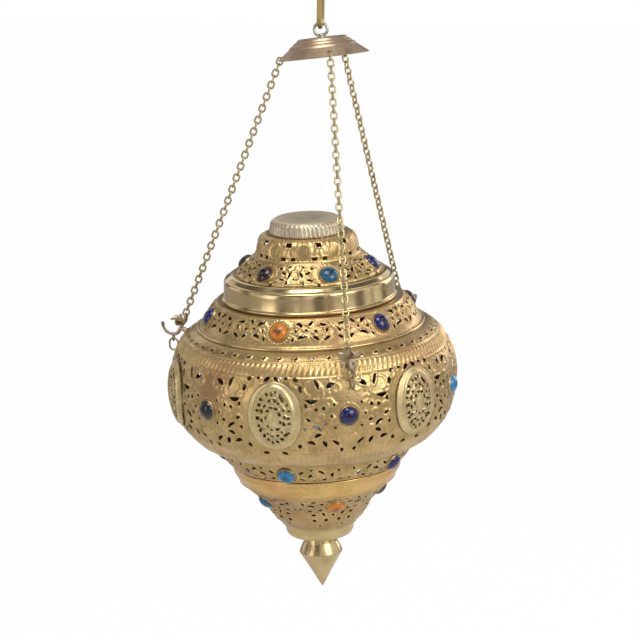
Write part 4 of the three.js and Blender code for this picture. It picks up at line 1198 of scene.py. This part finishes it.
eye_z = hook_eye_rise - hook_eye_radius
stem_line = curve_through([
    [hook_stand_off, 0, eye_z - hook_eye_radius], [5.6, 0, 8.4], [8.5, 0, 4.0],
    [11.6, 0, -0.9], [hook_low[0], 0, hook_low[1]], [23.2, 0, 0.0],
    [hook_tip[0] - 0.2, 0, 5.6], [hook_tip[0], 0, hook_tip[1]]], 40)
stem_radii = np.interp(np.linspace(0, 1, 40), [0, 0.3, 0.55, 0.85, 0.97, 1],
                       [1.5, 1.9, 1.7, 1.4, 2.0, 1.6])
stem = tube(stem_line, stem_radii, 12, [0, 1, 0])
sideways = ([0, 0, -1], [0, 1, 0], [1, 0, 0])
eye = set_at(oval_ring(hook_eye_bar, 2 * hook_eye_radius, 2 * hook_eye_radius, 28, 10),
             (hook_stand_off, 0, eye_z), sideways)
lug = set_at(oval_ring(lug_bar, 2 * lug_radius, 2 * lug_radius, 24, 8),
             (hook_low[0], 0, hook_low[1] - lug_drop), sideways)
blades = []
for turn in (-1, 1):
    blades.append(leaf_blade([5.0, turn * 0.8, 10.0], [17.0, turn * 4.6, 14.5], 3.6, 1.6,
                             unit(np.array([-0.3, turn * 0.3, 1.0])), 2.4))
    blades.append(leaf_blade([6.0, turn * 1.2, 8.5], [10.5, turn * 11.0, 15.5], 3.4, 1.4,
                             unit(np.array([1, turn * 0.25, -0.1])), 1.6))
neck = tube([[0.8, 0, 0], [4, 0, 2.2], [8.8, 0, 4.2]], [3.6, 2.6, 2.0], 12, [0, 1, 0])
foot_u = np.radians(np.arange(24) * 15)
foot_rim = np.sign(np.cos(foot_u)) * np.abs(np.cos(foot_u)) ** 0.7
foot_rise = np.sign(np.sin(foot_u)) * np.abs(np.sin(foot_u)) ** 0.7
foot_run, foot_fall = foot_corners[1] - foot_corners[0]
foot_normal = unit(np.array([-foot_fall, 0, foot_run]))
foot_up = np.cross(foot_normal, [0, 1, 0])
rings = [(0.02, 2.6), (0.8, 2.6), (0.94, 2.3), (1.0, 1.7), (1.0, 0.5), (0.02, 0.5)]
foot_half_width, foot_half_height = 7.5, 4.4
plate = np.array([
    foot_normal * h + r * (foot_half_width * foot_rim[:, None] * np.array([0, 1, 0])
                           + foot_half_height * foot_rise[:, None] * foot_up)
    for r, h in rings])
plate = surface(plate, False, True)
rivet_radius, rivet_rise, rivet_spacing = 1.4, 1.1, 10.4
from_pole, around = np.meshgrid(np.linspace(0, np.pi, 7), np.radians(np.arange(12) * 30),
                                indexing="ij")
rivet = surface(np.stack([rivet_radius * np.sin(from_pole) * np.cos(around),
                          rivet_radius * np.sin(from_pole) * np.sin(around),
                          rivet_rise * np.cos(from_pole)], -1), False, True)
rivets = [set_at(rivet, foot_normal * 2.5 + [0, aside, 0], ([0, 1, 0], foot_up, foot_normal))
          for aside in (-rivet_spacing / 2, rivet_spacing / 2)]
hook_part = combined([stem, eye, lug, neck, plate] + blades + rivets)
drop = set_at(oval_ring(ring_wire, ring_centre_width, ring_centre_length, 32, 10),
              (hook_low[0], 0, hook_low[1] - ring_bar_drop - ring_centre_length / 2), upright)
for side, azimuth in hook_azimuths.items():
    out = around_axis(1.0, azimuth, 0.0)
    axes = np.array([out, np.cross([0, 0, 1], out), [0, 0, 1]])
    base = around_axis(foot_radius, azimuth, foot_height)
    piece(f"hook_{side}_cast", (in_lamp(hook_part[0] @ axes + base), hook_part[1]), cast_brass,
          "lamp", [f"hook_{side}"])
    piece(f"drop_ring_{side}_wire", (in_lamp(drop[0] @ axes + base), drop[1]), cast_brass,
          f"drop_ring_{side}_body", [f"drop_ring_{side}"])

# Lower tier and lower collar
# A narrow pierced shell under the belly and a plain golden band below it. Dark joint lines
# separate them.

lower_line = outline([[101.5, -116.4], [99, -116.4]],
                     bowed((99, -116.5), (97, -130.64), (85, -140.2), 24))
lower_jewels = (5, -19.0, -131.1)
lower_motif = [
    (15.5, 4, 35, 7, 2.6, 0.6), (15, -5, -30, 6.5, 2.4, -0.5), (25.5, 0, 20, 9, 3, 1.2),
    (35.5, 5, -35, 7, 2.6, 0.6), (36, -5.5, 30, 7, 2.4, -0.5), (46, 1, 70, 7.5, 2.8, 0.7),
    (26, 8.2, 0, 3, 2.2, 0), (25.5, -8.2, 0, 3, 2.2, 0), (53, 7, 0, 2.6, 2.4, 0),
    (52, -6, 0, 2.6, 2.4, 0),
]
lower_curls = [(25, 0, 9, 4, 120, -160, 0.9), (40, 0, 9, 4, -60, 220, 0.9),
               (0, 0, 12, 12, 0, 360, 0.6), (52, 0, 7, 3, 120, -120, 0.8)]


def tier(name, line, jewels, motif, curls, cell, columns, node):
    """A pierced shell whose ornament is folded about its ring of jewels."""
    shell = (line, jewels, down_to(line, jewels[2]))

    def openings(azimuth, down):
        """The leaves of the motif."""
        x, y, _ = jewel_places(shell, azimuth, down)
        return leaf_holes(x, y, motif)

    def shape(azimuth, down):
        """The shell with its scrolls raised, and a border at its top and foot."""
        x, y, _ = jewel_places(shell, azimuth, down)
        edge = openings(azimuth, down)
        ends = bell(down - line[0][-1] + 1.4, 0.9) + bell(down - 4.2, 0.9)
        lip = hole_lip(edge, 0.75)
        raised = scrolls(x, y, curls) + chased_ground(x, y) + 0.8 * ends + lip
        relief = np.clip(raised, 0, 1.2)
        points = raised_shell(line, azimuth, down, 0.85 * relief)
        return points, worn_and_painted_tone(relief, edge, 0.32, 0.58)

    pierced_turn(name, line, cell, columns, openings, shape, "lamp", node)


tier("lower_tier_pierced", lower_line, lower_jewels, lower_motif, lower_curls, 0.95, 600,
     "lower_tier")
gold_brass = brass("gold_brass", (220, 184, 118), (176, 140, 76), (206, 148, 96),
                   roughness=0.24, patches=0.5, grain=800.0, bump=0.00003)
band_profile = rounded([
    [84.0, -140.6], [85.4, -141.4], [85.4, -143.2], [84.5, -144.4], [84.2, -148.2],
    [79.2, -157.0], [79.2, -159.1], [70.0, -159.1], [70.0, -157.9], [77.4, -157.9],
    [82.9, -148.0], [82.8, -140.6]], 0.8)
turned("lower_collar_spun", band_profile, 240, gold_brass, "lower_collar")

# Base tier with its cup
# A tapering pierced shell of sheet brass with five cabochons. It ends in a plain round cup,
# spun in one piece with it, under which the finial is fixed.

base_line = outline(np.linspace((76, -159.5), (53.5, -182), 24),
                    bowed((53.5, -182), (50, -194.4), (36.5, -206.8), 20))
base_jewels = (5, 15.0, -173.41)
base_motif = [
    (15, 6, 35, 7, 2.6, 0.6), (14.5, -6, -30, 6, 2.4, -0.5), (25, 2, 15, 9, 3, 1.2),
    (24, 10.5, -20, 6, 2.4, 0.4), (34.5, 7, 60, 6.5, 2.6, 0.6), (24, -8, 25, 6, 2.4, 0.4),
    (10, -14, 60, 6, 2.2, 0.4), (0, -15.5, 0, 3, 2.4, 0), (19.5, -15, 10, 5.5, 2.2, 0.4),
    (34, -4.5, 0, 3, 2.6, 0), (36.5, 14, 0, 2.8, 2.4, 0), (9.5, 13.5, 10, 3.6, 2.2, 0),
    (6.5, -22, 15, 4.4, 3.6, 0), (18, -22.5, -10, 4.2, 3.4, 0), (11.5, -31, 0, 2.6, 2.4, 0),
]
base_curls = [(24, 3, 9, 4, 150, -140, 0.9), (14, -12, 7, 3, -30, 240, 0.8),
              (36, 6, 8, 3.5, -70, 200, 0.8), (0, 0, 12, 12, 0, 360, 0.6)]
tier("base_tier_pierced", base_line, base_jewels, base_motif, base_curls, 0.9, 460,
     "base_tier")
cup_profile = rounded([
    [36.2, -206.4], [36.5, -207.4], [35.2, -208.4], [35.0, -210.0], [34.2, -215.2],
    [32.0, -218.8], [28.0, -220.5], [3.4, -220.5], [3.4, -219.3], [27.6, -219.3],
    [31.0, -217.8], [33.0, -214.8], [33.7, -208.4], [35.0, -206.2]], 1.2)
cup_brass = brass("cup_brass", (206, 184, 134), (172, 152, 96), (194, 156, 118),
                  roughness=0.26, patches=0.45, grain=800.0, bump=0.00003)
turned("base_cup_spun", cup_profile, 200, cup_brass, "base_tier", "pierced_brass")

# Finial and its stud
# A turned brass drop: a neck that flares to a sharp edge, and a cone down to the tip. A
# steel stud with its head inside the cup holds it.

finial_profile = np.concatenate([
    [[0, -220.8]],
    rounded([[0, -220.8], [15.5, -220.8], [15.6, -223.4], [16.9, -228.5], [20.0, -234.4],
             [21.9, -239.2], [21.4, -240.6], [10.8, -259.0], [2.2, -275.0],
             [0, -278.2]], 0.9, closed=False)[1:]])
finial_brass = brass("finial_brass", (206, 184, 136), (168, 148, 98),
                     (200, 160, 128), roughness=0.22, patches=0.6, grain=800.0,
                     bump=0.00003)
turned("finial_turned", finial_profile, 120, finial_brass, "finial")
repaint("finial_stud", steel_wire)

# Glass cabochons
# Round domes of coloured pressed glass, darkest where they are thick. Each is held in a
# thin brass bezel, which is soldered to the shell.

jewel_radius = 8.8
jewel_rise = 5.6
glass_colours = {
    "teal": (10, 98, 136), "cobalt": (14, 18, 98), "garnet": (52, 12, 20),
    "amber": (226, 134, 26), "smoke": (18, 20, 26), "sky": (30, 140, 200),
}


def cabochon_glass(name, colour):
    """Glossy coloured glass, paler at the rim and deepest in colour where it is thick."""
    finish = bpy.data.materials.new(name)
    tree = bare_tree(finish)
    depth = linked(tree, "ShaderNodeAttribute", attribute_name="relief").outputs["Fac"]
    place = linked(tree, "ShaderNodeTexCoord").outputs["Object"]
    swirl = noise(tree, place, 260.0, 2.0)
    pale = tuple(0.8 * c + 0.2 * d for c, d in zip(colour, (0.8, 0.8, 0.85, 1)))
    share = maths(tree, "ADD", depth, ranged(tree, swirl, 0.3, 0.7, -0.06, 0.06))
    toned = blended(tree, ranged(tree, share, 0.0, 0.3), pale, colour)
    deep = tuple(0.3 * c for c in colour[:3]) + (1,)
    toned = blended(tree, ranged(tree, share, 0.72, 1.0), toned, deep)
    shaded(tree, {"Base Color": toned, "Roughness": 0.06, "IOR": 1.52,
                  "Transmission Weight": 0.15, "Coat Weight": 0.2, "Coat Roughness": 0.03})
    return finish


glasses = {name: cabochon_glass(f"{name}_glass", srgb(*colour))
           for name, colour in glass_colours.items()}
jewel_sides = 28
jewel_sink = -0.9
jewel_stand_off = 0.3


def jewel_turning(rows, loop):
    """A profile of [radius, height] rows turned round a jewel's own axis."""
    spin = np.radians(np.arange(jewel_sides) * 360 / jewel_sides)
    points = np.stack([rows[:, :1] * np.cos(spin), rows[:, :1] * np.sin(spin),
                       rows[:, 1:2] + 0 * spin], -1)
    return surface(points, loop, True)


bend = np.linspace(0, np.pi / 2, 11)
dome_rows = np.concatenate([np.stack([jewel_radius * np.sin(bend), jewel_rise * np.cos(bend)], -1),
                            [[jewel_radius, jewel_sink], [0, jewel_sink]]])
cabochon = jewel_turning(dome_rows, False)
cabochon_depth = np.repeat(np.clip(dome_rows[:, 1] / jewel_rise, 0, 1), jewel_sides)
bezel = jewel_turning(rounded([[8.9, 1.1], [9.5, 1.3], [9.9, 0.6], [10.6, jewel_sink],
                               [8.9, jewel_sink]], 0.4, 3), True)
bezel_brass = brass("bezel_brass", (186, 158, 108), (140, 118, 72),
                    (172, 132, 98), roughness=0.36, patches=0.6)


def wall_frame(line, azimuth, height, skip):
    """A place on a shell at a height, with its ways along, up and out as rows."""
    radius, height, out, rise = along_line(line, down_to(line, height, skip))
    radial = around_axis(1.0, azimuth, 0.0)
    along = np.array([math.cos(math.radians(azimuth)), math.sin(math.radians(azimuth)), 0])
    normal = out * radial + rise * np.array([0, 0, 1])
    return around_axis(radius, azimuth, height), np.array([along, np.cross(normal, along), normal])


jewel_rings = [
    ("lid", "lid", dome_line, dome_jewels, 0,
     ["teal", "cobalt", "amber", "sky", "smoke", "garnet"]),
    ("shoulder", "lamp", shoulder_line, shoulder_jewels, 3,
     ["amber", "cobalt", "garnet", "sky", "teal", "cobalt"]),
    ("belly", "lamp", belly_line, belly_jewels, 2,
     ["cobalt", "sky", "amber", "cobalt", "garnet", "smoke"]),
    ("lower", "lamp", lower_line, lower_jewels, 2,
     ["sky", "cobalt", "garnet", "teal", "smoke"]),
    ("base", "lamp", base_line, base_jewels, 0,
     ["amber", "smoke", "cobalt", "amber", "teal"]),
]
for ring_name, body, line, (count, first, height), skip, colours in jewel_rings:
    seats = [wall_frame(line, first + 360 / count * k, height, skip) for k in range(count)]
    for k, (origin, axes) in enumerate(seats):
        points = in_lamp(cabochon[0] @ axes + origin + jewel_stand_off * axes[2])
        piece(f"{ring_name}_cabochon_{k + 1}", (points, cabochon[1]), glasses[colours[k]],
              body, [f"{ring_name}_jewel_{k + 1}"], cabochon_depth)
    points, quads = copies(bezel, *(np.array(list(column)) for column in zip(*seats)))
    piece(f"{ring_name}_bezels", (in_lamp(points), quads), bezel_brass, body)

# Candle tray and glass
# A plain brass disc with air holes rests in the belly's foot, and carries a pressed glass
# cup for a tea light.

repaint("candle_tray", worn_brass)
clear_glass = bpy.data.materials.new("clear_glass")
tree = bare_tree(clear_glass)
place = linked(tree, "ShaderNodeTexCoord").outputs["Object"]
ripple = linked(tree, "ShaderNodeBump", {"Strength": 0.4, "Distance": 0.0003,
                                         "Height": noise(tree, place, 120.0, 2.0)})
shaded(tree, {"Base Color": (0.93, 0.97, 0.96, 1), "Roughness": 0.08, "IOR": 1.5,
              "Transmission Weight": 0.9, "Normal": ripple.outputs[0]})
glass_foot = -113.0
glass_profile = rounded([
    [3, glass_foot], [27, glass_foot], [29.4, glass_foot + 3], [30, glass_foot + 51.4],
    [28.8, glass_foot + 52], [27.6, glass_foot + 51.4], [26.6, glass_foot + 5],
    [24, glass_foot + 4], [3, glass_foot + 4]], 0.9, closed=False)
glass_profile = np.concatenate([[[0, glass_foot]], glass_profile, [[0, glass_foot + 4]]])
turned("candle_cup_glass", glass_profile, 64, clear_glass, "candle_glass", "clear_glass")
